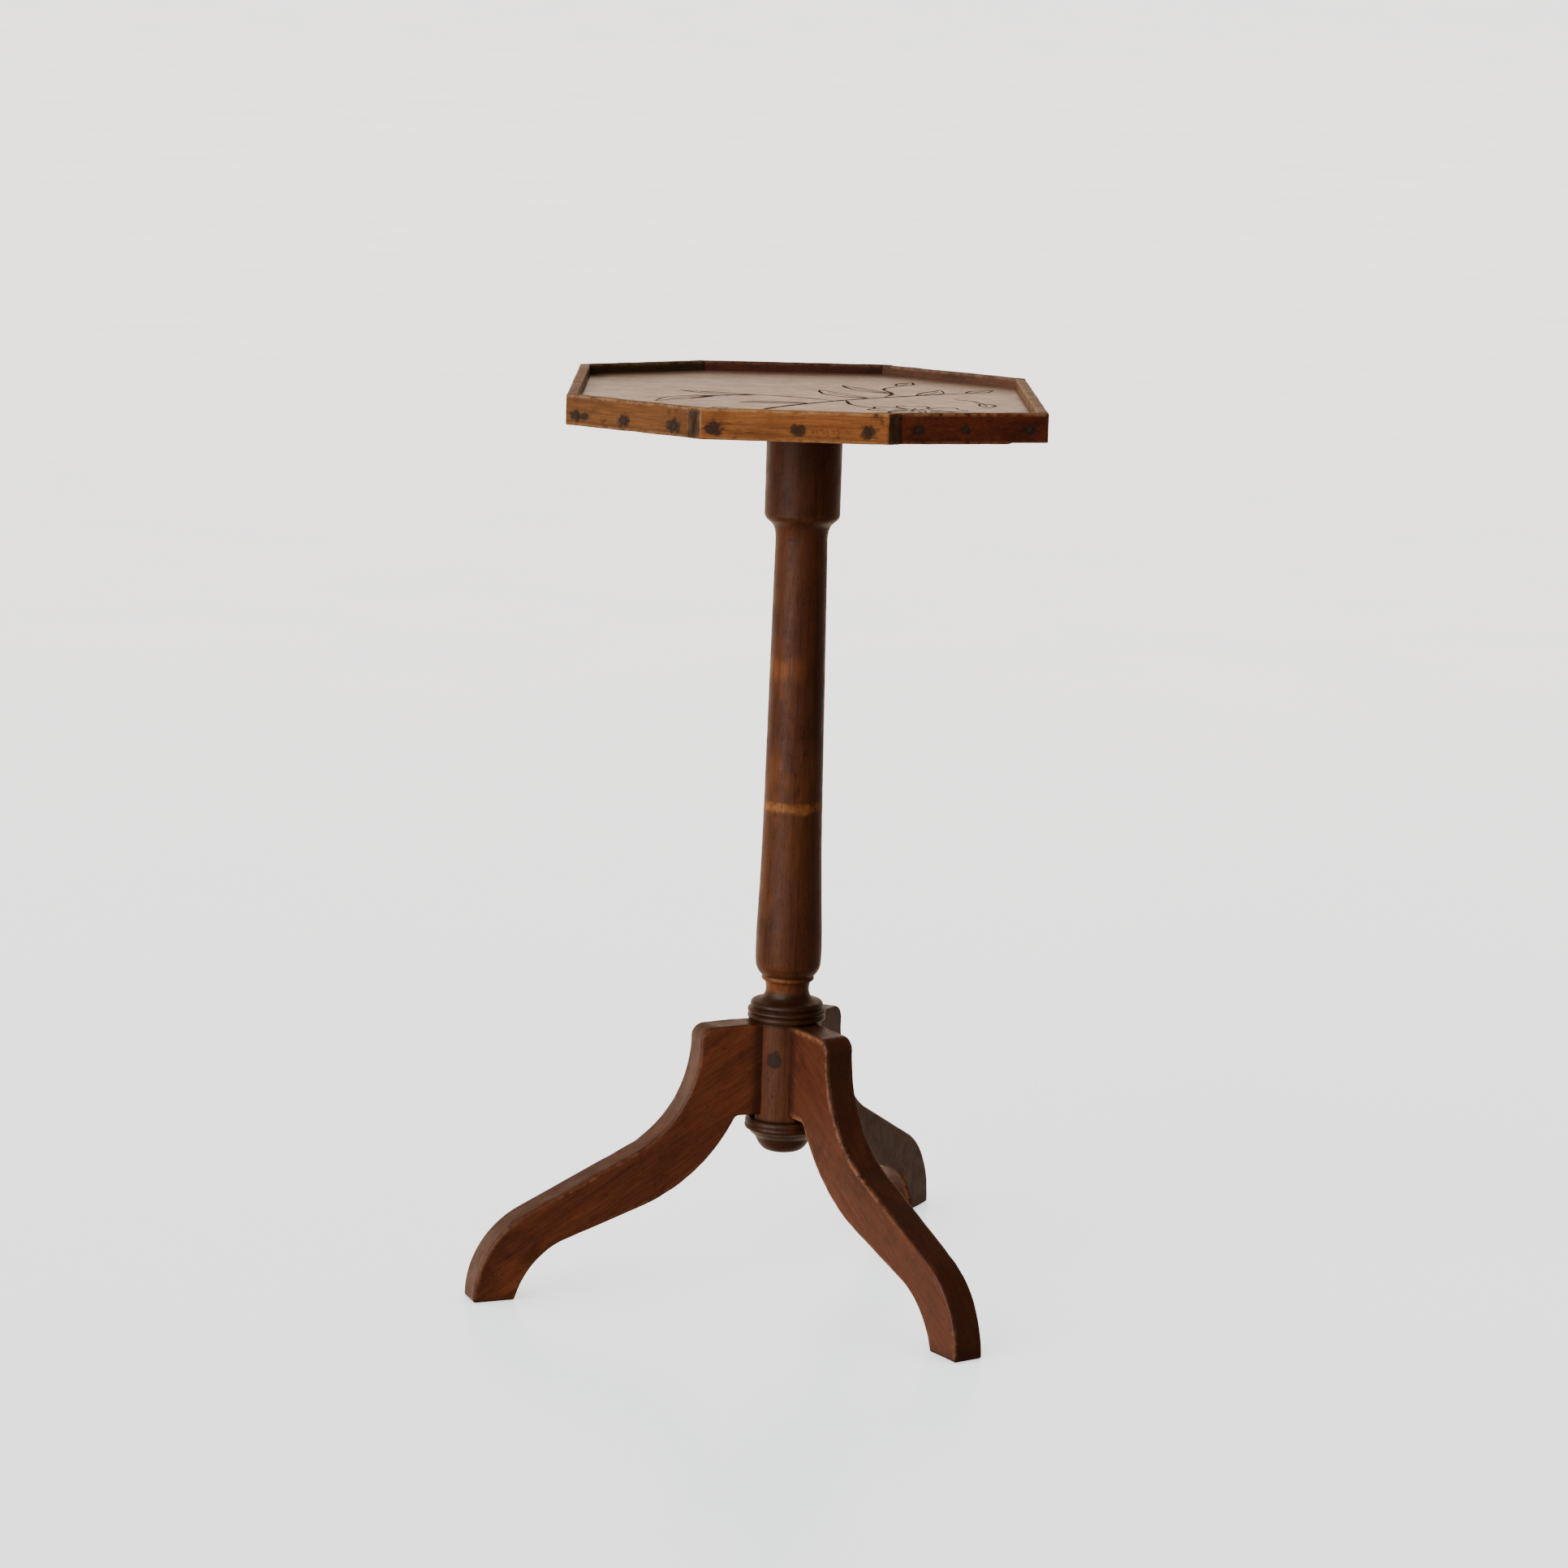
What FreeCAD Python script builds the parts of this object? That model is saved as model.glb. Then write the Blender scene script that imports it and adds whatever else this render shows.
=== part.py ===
"""Small tilt-top table: an eight-sided tray on a turned pillar with three dovetailed legs.

The tray turns on two pins at the left side of a tilt block, so it can stand upright for storage.
Frame: +Z up, +X to the right, +Y to the rear. The origin is on the pillar's axis at floor level.
All sizes are in millimetres.
"""
import FreeCAD
import Part
import math
import os

V = FreeCAD.Vector

# ---------------------------------------------------------------- overall sizes
TABLE_HEIGHT = 700.0        # floor to the top edge of the rim
TRAY_LEFT = 177.0           # pillar axis to the middle of the left rim board's outside
TRAY_RIGHT = 174.0          # pillar axis to the middle of the right rim board's outside
TRAY_FRONT = 209.0          # pillar axis to the outside of the front rim board
TRAY_REAR = 209.0           # pillar axis to the middle of the rear rim board
REAR_SKEW = 14.6            # how much further back the rear board's right end is than its left
SIDE_SKEW = 4.0             # how much further left the side boards' rear ends are than their front
# how far each cut corner runs along the width and along the depth
CUT_FRONT_LEFT = (101.0, 75.5)
CUT_FRONT_RIGHT = (117.0, 42.5)
CUT_REAR_LEFT = (94.7, 70.6)
CUT_REAR_RIGHT = (109.7, 92.4)

# ---------------------------------------------------------------- tray
RIM_HEIGHT = 22.5
RIM_THICKNESS = 8.0
FRONT_END_TURN = 36.0       # degrees; saw cut of the front board's right end, from its face
RIM_STAND = 7.5             # rim above the board
BOARD_THICKNESS = 10.0
RIM_EASE = 0.8              # rounding along the rim's long edges

# ---------------------------------------------------------------- pillar
HUB_RADIUS = 27.3
HUB_BOTTOM = 128.0          # height of the hub's lower end above the floor
HUB_LENGTH = 79.0
RING_RADIUS = 30.6
RING_HEIGHT = 8.6           # collar above the hub
TORUS_RADIUS = 28.5
TORUS_HEIGHT = 6.6
NECK_RADIUS = 16.9
BEAD_RADIUS = 20.6
SHAFT_BASE_RADIUS = 25.7
SHAFT_TOP_RADIUS = 20.1
HEAD_RADIUS = 29.1
HEAD_LENGTH = 63.0
TENON_RADIUS = 11.0
TENON_SINK = 0.5            # tenon top below the top of the tilt block

# ---------------------------------------------------------------- legs
LEG_AZIMUTHS = {"leg_left": 202.0, "leg_right": -56.0, "leg_rear": 64.0}
LEG_THICKNESS = 25.0
LEG_EDGE_ROUND = 2.0
LEG_TOP_GAP = 0.6           # below the collar
LEG_ROOT = 5.5              # leg's lower shoulder above the hub's lower end
KNEE_REACH = 75.0
KNEE_ROUND = 13.0
BACK_BEND_HEIGHT = 134.6
BACK_BEND_RADIUS = 108.0
FOOT_REACH = 255.5
TOE_BEND_HEIGHT = 47.5
TOE_BEND_RADIUS = 76.0
TOE_ROUND = 3.0
SOLE_LENGTH = 33.0
ANKLE_DEPTH = 45.5          # from the toe line back to the heel bend
HEEL_BEND_HEIGHT = 34.8
HEEL_BEND_RADIUS = 65.0
BELLY_REACH = 73.5
BELLY_HEIGHT = 83.3
BELLY_RADIUS = 136.0
SHOULDER_REACH = 44.3
SHOULDER_ROUND = 4.0

# dovetail that holds each leg in the hub
TAIL_DEPTH = 10.0
TAIL_NECK_WIDTH = 11.0
TAIL_WIDTH = 16.0
TAIL_TOP_GAP = 6.0          # below the leg's top
TAIL_CLEARANCE = 0.1

# ---------------------------------------------------------------- drop finial
FINIAL_RING_HEIGHT = 9.0
FINIAL_CUP_RADIUS = 28.0
FINIAL_WAIST_RADIUS = 21.6
FINIAL_END_RADIUS = 11.5
FINIAL_LENGTH = 26.6        # below the hub
SPIGOT_RADIUS = 9.0
SPIGOT_LENGTH = 16.0
SPIGOT_CLEARANCE = 0.1

# nail driven through the hub into the left leg's tail
HUB_NAIL_AZIMUTH = -105.0
HUB_NAIL_HEIGHT = 178.5
HUB_NAIL_RADIUS = 1.6
HUB_NAIL_HEAD_RADIUS = 3.2
HUB_NAIL_HEAD = 1.0
HUB_NAIL_LENGTH = 16.0

# ---------------------------------------------------------------- tilt block and bearers
BLOCK_THICKNESS = 18.0
BLOCK_HALF_WIDTH = 32.6
BLOCK_RIGHT = 37.0          # pillar axis to the block's right end
BLOCK_LEDGE = 9.6           # thickness left above the rebate that the turn button goes under
BLOCK_LEDGE_LENGTH = 19.0
PIVOT_DROP = 9.0            # pivot axis below the underside of the tray board
HEAD_CLEARANCE = 0.6        # upright tray to the pillar head
PIN_RADIUS = 4.0
PIN_CLEARANCE = 0.05
PIN_IN_BLOCK = 18.0
BEARER_CLEARANCE = 0.4      # between the block's sides and the bearers
BEARER_WIDTH = 16.0
BEARER_DEPTH = 18.0
BEARER_LENGTH = 296.0
BEARER_END_DEPTH = 8.0
BEARER_TAPER = 46.0
WEDGE_TOP = 2.6
WEDGE_TIP = 0.8
WEDGE_DEPTH = 13.0

SCREW_RADIUS = 2.0
SCREW_HEAD_RADIUS = 4.0
SCREW_HEAD = 2.4
SCREW_BITE = 7.0            # screw point above the underside of the board
SCREW_CLEARANCE = 0.05
SCREW_SPACING = 92.0

# ---------------------------------------------------------------- turn button
BUTTON_NOSE = 26.0          # from its screw to the tip of its nose
BUTTON_TAIL = 11.0
BUTTON_WIDTH = 16.0
BUTTON_THICKNESS = 6.0
BUTTON_GAP = 1.0            # between the button's side and the block's end
BUTTON_PLAY = 0.4           # under the ledge, and above the boss

# ---------------------------------------------------------------- rim nails
NAIL_RADIUS = 1.1
NAIL_HEAD_RADIUS = 2.1
NAIL_HEAD = 0.7
NAIL_LENGTH = 26.0
NAIL_RISE = 3.4             # nail axis above the underside of the board
NAIL_CLEARANCE = 0.05
# places of the nails along each rim board, as shares of its length from its first corner
NAIL_PLACES = {
    "rim_front": (0.068, 0.516, 0.898),
    "rim_front_right": (0.11, 0.43, 0.87),
    "rim_right": (0.1, 0.36, 0.63, 0.9),
    "rim_rear_right": (0.12, 0.52, 0.86),
    "rim_rear": (0.09, 0.47, 0.91),
    "rim_rear_left": (0.13, 0.55, 0.85),
    "rim_left": (0.11, 0.38, 0.66, 0.89),
    "rim_front_left": (0.07, 0.14, 0.43, 0.8),
}
# boards whose nails stand higher or lower than the others
NAIL_SHIFT = {"rim_front_left": -1.0, "rim_front_right": 2.4, "rim_left": 0.8, "rim_rear": 1.2}

# ---------------------------------------------------------------- levels
BOARD_TOP = TABLE_HEIGHT - RIM_STAND
BOARD_BOTTOM = BOARD_TOP - BOARD_THICKNESS
RIM_BOTTOM = TABLE_HEIGHT - RIM_HEIGHT
BLOCK_BOTTOM = BOARD_BOTTOM - BLOCK_THICKNESS
HUB_TOP = HUB_BOTTOM + HUB_LENGTH
HEAD_BOTTOM = BLOCK_BOTTOM - HEAD_LENGTH
PIVOT_X = -HEAD_RADIUS - HEAD_CLEARANCE + PIVOT_DROP
PIVOT_Z = BOARD_BOTTOM - PIVOT_DROP
BEARER_INNER = BLOCK_HALF_WIDTH + BEARER_CLEARANCE
BUTTON_TOP = BOARD_BOTTOM - BLOCK_LEDGE - BUTTON_PLAY
BUTTON_X = BLOCK_RIGHT + BUTTON_GAP + BUTTON_WIDTH / 2


# ---------------------------------------------------------------- helpers
def save(shape, name):
    """Write one sub-part as a STEP file named after its node."""
    shape.exportStep("parts/%s.step" % name)


def tangent_length(before, corner, after, radius):
    """Distance from a corner to the ends of an arc of this radius that rounds it."""
    turn = (corner - before).getAngle(after - corner)
    return radius * math.tan(turn / 2)


def rounded_face(corners):
    """Face inside a closed outline of (point, radius) corners, each rounded by its radius.

    Where two roundings would meet on one side, both are made smaller to fit it.
    """
    points = [point for point, radius in corners]
    count = len(points)
    reach = []
    for i, (point, radius) in enumerate(corners):
        reach.append(tangent_length(points[i - 1], point, points[(i + 1) % count], radius))
    fit = [1.0] * count
    for i in range(count):
        j = (i + 1) % count
        side = points[i].distanceToPoint(points[j])
        if reach[i] + reach[j] > 0.98 * side:
            share = 0.98 * side / (reach[i] + reach[j])
            fit[i] = min(fit[i], share)
            fit[j] = min(fit[j], share)
    edges = []
    last = None
    first = None
    for i in range(count):
        corner = points[i]
        back = (points[i - 1] - corner).normalize()
        ahead = (points[(i + 1) % count] - corner).normalize()
        length = reach[i] * fit[i]
        start = corner + back * length
        end = corner + ahead * length
        if last is not None:
            edges.append(Part.LineSegment(last, start).toShape())
        if first is None:
            first = start
        if length > 1e-6:
            radius = corners[i][1] * fit[i]
            half = (math.pi - back.getAngle(ahead)) / 2
            middle = (back + ahead).normalize() * (radius / math.cos(half) - radius)
            edges.append(Part.Arc(start, corner + middle, end).toShape())
        last = end
    edges.append(Part.LineSegment(last, first).toShape())
    return Part.Face(Part.Wire(edges))


def turned(profile):
    """Solid of revolution about Z from steps of (kind, points), each point (radius, height)."""
    edges = []
    here = None
    for kind, points in profile:
        points = [V(r, 0, z) for r, z in points]
        if kind == "start":
            here = points[0]
            first = here
            continue
        if kind == "line":
            edge = Part.LineSegment(here, points[0])
        elif kind == "arc":
            edge = Part.Arc(here, points[0], points[1])
        else:
            edge = Part.BSplineCurve()
            edge.interpolate([here] + points)
        edges.append(edge.toShape())
        here = points[-1]
    edges.append(Part.LineSegment(here, first).toShape())
    face = Part.Face(Part.Wire(edges))
    return face.revolve(V(0, 0, 0), V(0, 0, 1), 360)


def bulge(low, high, inner, outer):
    """Half-round bead between two heights: its middle point and its end point."""
    return "arc", [(outer, (low + high) / 2), (inner, high)]


def box(x0, x1, y0, y1, z0, z1):
    """Box between two corners."""
    return Part.makeBox(x1 - x0, y1 - y0, z1 - z0, V(x0, y0, z0))


def prism(points, z0, z1):
    """Upright prism over a plan outline."""
    wire = Part.makePolygon([V(x, y, z0) for x, y in points + points[:1]])
    return Part.Face(wire).extrude(V(0, 0, z1 - z0))


def line_meet(line_a, line_b):
    """Point where two plan lines cross; each line is (point, direction)."""
    (ax, ay), (ux, uy) = line_a
    (bx, by), (vx, vy) = line_b
    share = ((bx - ax) * vy - (by - ay) * vx) / (ux * vy - uy * vx)
    return ax + ux * share, ay + uy * share


# ---------------------------------------------------------------- tray outline
RIM_ORDER = ["rim_front", "rim_front_right", "rim_right", "rim_rear_right",
             "rim_rear", "rim_rear_left", "rim_left", "rim_front_left"]
# boards of a higher rank run past the ends of their neighbours
RIM_RANK = {"rim_front": 2, "rim_rear": 2, "rim_left": 0, "rim_right": 0}


def tray_corners():
    """The eight outer corners, anticlockwise from the front board's left end."""
    rear_left = TRAY_REAR - REAR_SKEW / 2
    rear_right = TRAY_REAR + REAR_SKEW / 2
    lean = SIDE_SKEW / 2
    return [
        (-TRAY_LEFT + lean + CUT_FRONT_LEFT[0], -TRAY_FRONT),
        (TRAY_RIGHT + lean - CUT_FRONT_RIGHT[0], -TRAY_FRONT),
        (TRAY_RIGHT + lean, -TRAY_FRONT + CUT_FRONT_RIGHT[1]),
        (TRAY_RIGHT - lean, rear_right - CUT_REAR_RIGHT[1]),
        (TRAY_RIGHT - lean - CUT_REAR_RIGHT[0], rear_right),
        (-TRAY_LEFT - lean + CUT_REAR_LEFT[0], rear_left),
        (-TRAY_LEFT - lean, rear_left - CUT_REAR_LEFT[1]),
        (-TRAY_LEFT + lean, -TRAY_FRONT + CUT_FRONT_LEFT[1]),
    ]


def side_ends(index):
    """Where one side of the tray starts and ends, outside."""
    corners = tray_corners()
    start = corners[index % 8]
    if RIM_ORDER[index % 8] == "rim_front_right":
        back = RIM_THICKNESS / math.tan(math.radians(FRONT_END_TURN))
        start = (start[0] + back, start[1] + RIM_THICKNESS)
    return start, corners[(index + 1) % 8]


def side_line(index, inset):
    """Plan line of one side of the tray, moved inwards by inset."""
    (ax, ay), (bx, by) = side_ends(index)
    length = math.hypot(bx - ax, by - ay)
    ux = (bx - ax) / length
    uy = (by - ay) / length
    return (ax - uy * inset, ay + ux * inset), (ux, uy)


def rim_plan(index):
    """Plan of one rim board: it runs past a lower neighbour and butts against a higher one."""
    rank = RIM_RANK.get(RIM_ORDER[index], 1)
    outer = side_line(index, 0)
    inner = side_line(index, RIM_THICKNESS)
    ends = []
    for step in (-1, 1):
        neighbour = (index + step) % 8
        runs_past = rank > RIM_RANK.get(RIM_ORDER[neighbour], 1)
        stop = side_line(neighbour, 0 if runs_past else RIM_THICKNESS)
        if RIM_ORDER[index] == "rim_front" and step == 1:
            turn = math.radians(FRONT_END_TURN)
            stop = (side_ends(index)[1], (math.cos(turn), math.sin(turn)))
        ends.append((line_meet(outer, stop), line_meet(inner, stop)))
    return [ends[0][0], ends[1][0], ends[1][1], ends[0][1]]


def nail(point, inward, radius, head_radius, head, length):
    """Nail whose head is flush at point and whose shank runs inward, with a pointed end."""
    shape = Part.makeCylinder(head_radius, head, point, inward)
    straight = length - 2 * radius
    shape = shape.fuse(Part.makeCylinder(radius, straight, point, inward))
    tip = Part.makeCone(radius, radius * 0.2, 2 * radius, point + inward * straight, inward)
    return shape.fuse(tip).removeSplitter()


def rim_nail_places():
    """Outer point and inward direction of every rim nail, by rim board."""
    places = {}
    for index, name in enumerate(RIM_ORDER):
        (ax, ay), (bx, by) = side_ends(index)
        _, (ux, uy) = side_line(index, 0)
        rows = []
        height = BOARD_BOTTOM + NAIL_RISE + NAIL_SHIFT.get(name, 0)
        for share in NAIL_PLACES[name]:
            point = V(ax + (bx - ax) * share, ay + (by - ay) * share, height)
            rows.append((point, V(-uy, ux, 0)))
        places[name] = rows
    return places


def rim_nails(gap):
    """All the rim nails, made larger by gap where they cut their holes."""
    nails = []
    for rows in rim_nail_places().values():
        for point, inward in rows:
            nails.append(nail(point, inward, NAIL_RADIUS + gap, NAIL_HEAD_RADIUS + gap,
                              NAIL_HEAD + gap, NAIL_LENGTH + gap))
    return nails


# ---------------------------------------------------------------- tilt gear
def screw(x, y, seat, gap):
    """Upward screw under the tray: countersunk head at seat, point inside the board."""
    shank = SCREW_RADIUS + gap
    top = BOARD_BOTTOM + SCREW_BITE + gap
    body = Part.makeCylinder(shank, top - seat - gap, V(x, y, seat), V(0, 0, 1))
    head = Part.makeCone(SCREW_HEAD_RADIUS + gap, shank, SCREW_HEAD + gap, V(x, y, seat), V(0, 0, 1))
    return body.fuse(head).removeSplitter()


def bearer_screw_places():
    """Plan places of the bearer screws: three along each bearer."""
    middle = BEARER_INNER + BEARER_WIDTH / 2
    return [(step * SCREW_SPACING, side * middle) for side in (-1, 1) for step in (-1, 0, 1)]


def bearer_screws(gap):
    """The screws that hold both bearers, made larger by gap where they cut their holes."""
    seat = BOARD_BOTTOM - BEARER_DEPTH
    return [screw(x, y, seat, gap) for x, y in bearer_screw_places()]


def button_screw(gap):
    """Round-headed screw that the turn button turns on."""
    seat = BUTTON_TOP - BUTTON_THICKNESS
    top = BOARD_BOTTOM + SCREW_BITE + gap
    shank = Part.makeCylinder(SCREW_RADIUS + gap, top - seat, V(BUTTON_X, 0, seat), V(0, 0, 1))
    head = Part.makeCylinder(SCREW_HEAD_RADIUS, SCREW_HEAD, V(BUTTON_X, 0, seat - SCREW_HEAD))
    dome = head.makeFillet(SCREW_HEAD * 0.6, [head.Edges[2]])
    slot = box(BUTTON_X - SCREW_HEAD_RADIUS, BUTTON_X + SCREW_HEAD_RADIUS, -0.5, 0.5,
               seat - SCREW_HEAD, seat - SCREW_HEAD / 2)
    return dome.cut(slot).fuse(shank).removeSplitter()


def pivot_pin(side, gap):
    """Pin from the outer face of one bearer into the tilt block."""
    inner = BLOCK_HALF_WIDTH - PIN_IN_BLOCK - gap
    outer = BEARER_INNER + BEARER_WIDTH
    return Part.makeCylinder(PIN_RADIUS + gap, outer - inner, V(PIVOT_X, side * inner, PIVOT_Z),
                             V(0, side, 0))


def bearer(side):
    """Long batten under the tray, thinned towards both ends."""
    half = BEARER_LENGTH / 2
    low = BOARD_BOTTOM - BEARER_DEPTH
    end = BOARD_BOTTOM - BEARER_END_DEPTH
    points = [(-half, BOARD_BOTTOM), (half, BOARD_BOTTOM), (half, end), (half - BEARER_TAPER, low),
              (-half + BEARER_TAPER, low), (-half, end)]
    y0 = min(side * BEARER_INNER, side * (BEARER_INNER + BEARER_WIDTH))
    wire = Part.makePolygon([V(x, y0, z) for x, z in points + points[:1]])
    shape = Part.Face(wire).extrude(V(0, BEARER_WIDTH, 0))
    for cutter in bearer_screws(SCREW_CLEARANCE):
        shape = shape.cut(cutter)
    return shape.cut(pivot_pin(side, 0))


def tilt_block():
    """Block on the pillar's tenon, rounded about the pivot so that the tray can pass it."""
    left = PIVOT_X - PIVOT_DROP
    block = box(left, BLOCK_RIGHT, -BLOCK_HALF_WIDTH, BLOCK_HALF_WIDTH, BLOCK_BOTTOM, BOARD_BOTTOM)
    corner = box(left, PIVOT_X, -BLOCK_HALF_WIDTH, BLOCK_HALF_WIDTH, PIVOT_Z, BOARD_BOTTOM)
    round_end = Part.makeCylinder(PIVOT_DROP, 2 * BLOCK_HALF_WIDTH,
                                  V(PIVOT_X, -BLOCK_HALF_WIDTH, PIVOT_Z), V(0, 1, 0))
    block = block.cut(corner.cut(round_end))
    rebate = box(BLOCK_RIGHT - BLOCK_LEDGE_LENGTH, BLOCK_RIGHT, -BLOCK_HALF_WIDTH,
                 BLOCK_HALF_WIDTH, BLOCK_BOTTOM, BOARD_BOTTOM - BLOCK_LEDGE)
    block = block.cut(rebate)
    block = block.cut(Part.makeCylinder(TENON_RADIUS, BLOCK_THICKNESS, V(0, 0, BLOCK_BOTTOM)))
    for side in (-1, 1):
        block = block.cut(pivot_pin(side, PIN_CLEARANCE))
    return block


def turn_button():
    """Wooden button with a rounded nose on a round boss that stands it off the board."""
    half = BUTTON_WIDTH / 2
    low = BUTTON_TOP - BUTTON_THICKNESS
    bar = box(BUTTON_X - half, BUTTON_X + half, -BUTTON_NOSE + half, BUTTON_TAIL, low, BUTTON_TOP)
    nose = Part.makeCylinder(half, BUTTON_THICKNESS, V(BUTTON_X, -BUTTON_NOSE + half, low))
    boss = Part.makeCylinder(half, BOARD_BOTTOM - BUTTON_PLAY - low, V(BUTTON_X, 0, low))
    shape = bar.fuse(nose).fuse(boss).removeSplitter()
    hole = Part.makeCylinder(SCREW_RADIUS + SCREW_CLEARANCE, BUTTON_THICKNESS * 5,
                             V(BUTTON_X, 0, low))
    return shape.cut(hole)


# ---------------------------------------------------------------- pillar and finial
def tenon_wedge():
    """Thin wedge driven into the tenon's saw cut."""
    top = BOARD_BOTTOM - TENON_SINK
    low = top - WEDGE_DEPTH
    points = [(-WEDGE_TOP / 2, top), (WEDGE_TOP / 2, top), (WEDGE_TIP / 2, low), (-WEDGE_TIP / 2, low)]
    wire = Part.makePolygon([V(x, -TENON_RADIUS, z) for x, z in points + points[:1]])
    wedge = Part.Face(wire).extrude(V(0, 2 * TENON_RADIUS, 0))
    tenon = Part.makeCylinder(TENON_RADIUS, WEDGE_DEPTH, V(0, 0, low))
    return wedge.common(tenon)


def dovetail(azimuth, gap, z0, z1):
    """Dovetail key from the hub's surface towards its axis, at one azimuth."""
    root = HUB_RADIUS - TAIL_DEPTH - gap
    face = HUB_RADIUS + 2.0
    neck = TAIL_NECK_WIDTH / 2 + gap
    tail = TAIL_WIDTH / 2 + gap
    spread = (tail - neck) * (face - HUB_RADIUS) / TAIL_DEPTH
    points = [(root, -tail), (face, -neck + spread), (face, neck - spread), (root, tail)]
    key = prism(points, z0, z1)
    key.rotate(V(0, 0, 0), V(0, 0, 1), azimuth)
    return key


def tail_span():
    """Lowest and highest points of the leg's dovetail."""
    return HUB_BOTTOM + LEG_ROOT, HUB_TOP - LEG_TOP_GAP - TAIL_TOP_GAP


def hub_nail(gap):
    """Nail in the front of the hub."""
    angle = math.radians(HUB_NAIL_AZIMUTH)
    inward = V(-math.cos(angle), -math.sin(angle), 0)
    start = V(0, 0, HUB_NAIL_HEIGHT) - inward * (HUB_RADIUS - 0.3)
    return nail(start, inward, HUB_NAIL_RADIUS + gap, HUB_NAIL_HEAD_RADIUS + gap,
                HUB_NAIL_HEAD + gap, HUB_NAIL_LENGTH + gap)


def hub_nail_hole():
    """Hole for the hub nail, open to the hub's surface."""
    angle = math.radians(HUB_NAIL_AZIMUTH)
    outward = V(math.cos(angle), math.sin(angle), 0)
    start = V(0, 0, HUB_NAIL_HEIGHT) + outward * (HUB_RADIUS - 0.3 - HUB_NAIL_HEAD)
    mouth = Part.makeCylinder(HUB_NAIL_HEAD_RADIUS + NAIL_CLEARANCE, 5.0, start, outward)
    return hub_nail(NAIL_CLEARANCE).fuse(mouth)


def pillar():
    """Turned pillar from the hub's lower end to the tenon above the head."""
    ring = HUB_TOP
    ring_top = ring + RING_HEIGHT
    groove = ring + RING_HEIGHT / 2
    torus = ring_top + TORUS_HEIGHT
    neck = torus + 10.0
    bead = neck + 5.4
    bead_top = bead + 3.6
    shaft = bead_top + 14.0
    flare = HEAD_BOTTOM - 24.0
    rise = flare - shaft
    swell = SHAFT_BASE_RADIUS - SHAFT_TOP_RADIUS
    profile = [
        ("start", [(0, HUB_BOTTOM)]),
        ("line", [(HUB_RADIUS, HUB_BOTTOM)]),
        ("line", [(HUB_RADIUS, ring)]),
        ("line", [(RING_RADIUS - 1.0, ring)]),
        bulge(ring, groove - 0.4, RING_RADIUS - 0.9, RING_RADIUS),
        ("line", [(RING_RADIUS - 1.5, groove)]),
        ("line", [(RING_RADIUS - 0.9, groove + 0.4)]),
        bulge(groove + 0.4, ring_top, RING_RADIUS - 1.2, RING_RADIUS),
        ("line", [(TORUS_RADIUS - 1.2, ring_top + 0.2)]),
        bulge(ring_top + 0.2, torus - 0.8, TORUS_RADIUS - 3.5, TORUS_RADIUS),
        ("line", [(TORUS_RADIUS - 6.0, torus)]),
        ("spline", [(NECK_RADIUS + 1.4, torus + 3.2), (NECK_RADIUS, neck),
                    (NECK_RADIUS + 1.6, bead)]),
        ("line", [(BEAD_RADIUS - 1.2, bead)]),
        bulge(bead, bead_top, BEAD_RADIUS - 0.8, BEAD_RADIUS + 0.1),
        ("spline", [(BEAD_RADIUS + 2.2, bead_top + 3.0), (SHAFT_BASE_RADIUS - 0.6, bead_top + 8.0),
                    (SHAFT_BASE_RADIUS, shaft), (SHAFT_BASE_RADIUS - 0.22 * swell, shaft + 0.16 * rise),
                    (SHAFT_TOP_RADIUS + 0.43 * swell, shaft + 0.44 * rise),
                    (SHAFT_TOP_RADIUS + 0.18 * swell, shaft + 0.78 * rise), (SHAFT_TOP_RADIUS, flare)]),
        ("spline", [(SHAFT_TOP_RADIUS + 0.5, flare + 11.0), (SHAFT_TOP_RADIUS + 2.4, flare + 16.0),
                    (HEAD_RADIUS - 2.6, flare + 19.6), (HEAD_RADIUS - 0.4, HEAD_BOTTOM - 1.6)]),
        ("line", [(HEAD_RADIUS, HEAD_BOTTOM)]),
        ("line", [(HEAD_RADIUS, BLOCK_BOTTOM)]),
        ("line", [(TENON_RADIUS, BLOCK_BOTTOM)]),
        ("line", [(TENON_RADIUS, BOARD_BOTTOM - TENON_SINK)]),
        ("line", [(0, BOARD_BOTTOM - TENON_SINK)]),
    ]
    shape = turned(profile)
    low, high = tail_span()
    for azimuth in LEG_AZIMUTHS.values():
        shape = shape.cut(dovetail(azimuth, TAIL_CLEARANCE, HUB_BOTTOM - 1.0, high + TAIL_CLEARANCE))
    bore = Part.makeCylinder(SPIGOT_RADIUS + SPIGOT_CLEARANCE, SPIGOT_LENGTH + 1.0, V(0, 0, HUB_BOTTOM))
    return shape.cut(bore).cut(tenon_wedge()).cut(hub_nail_hole())


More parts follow.
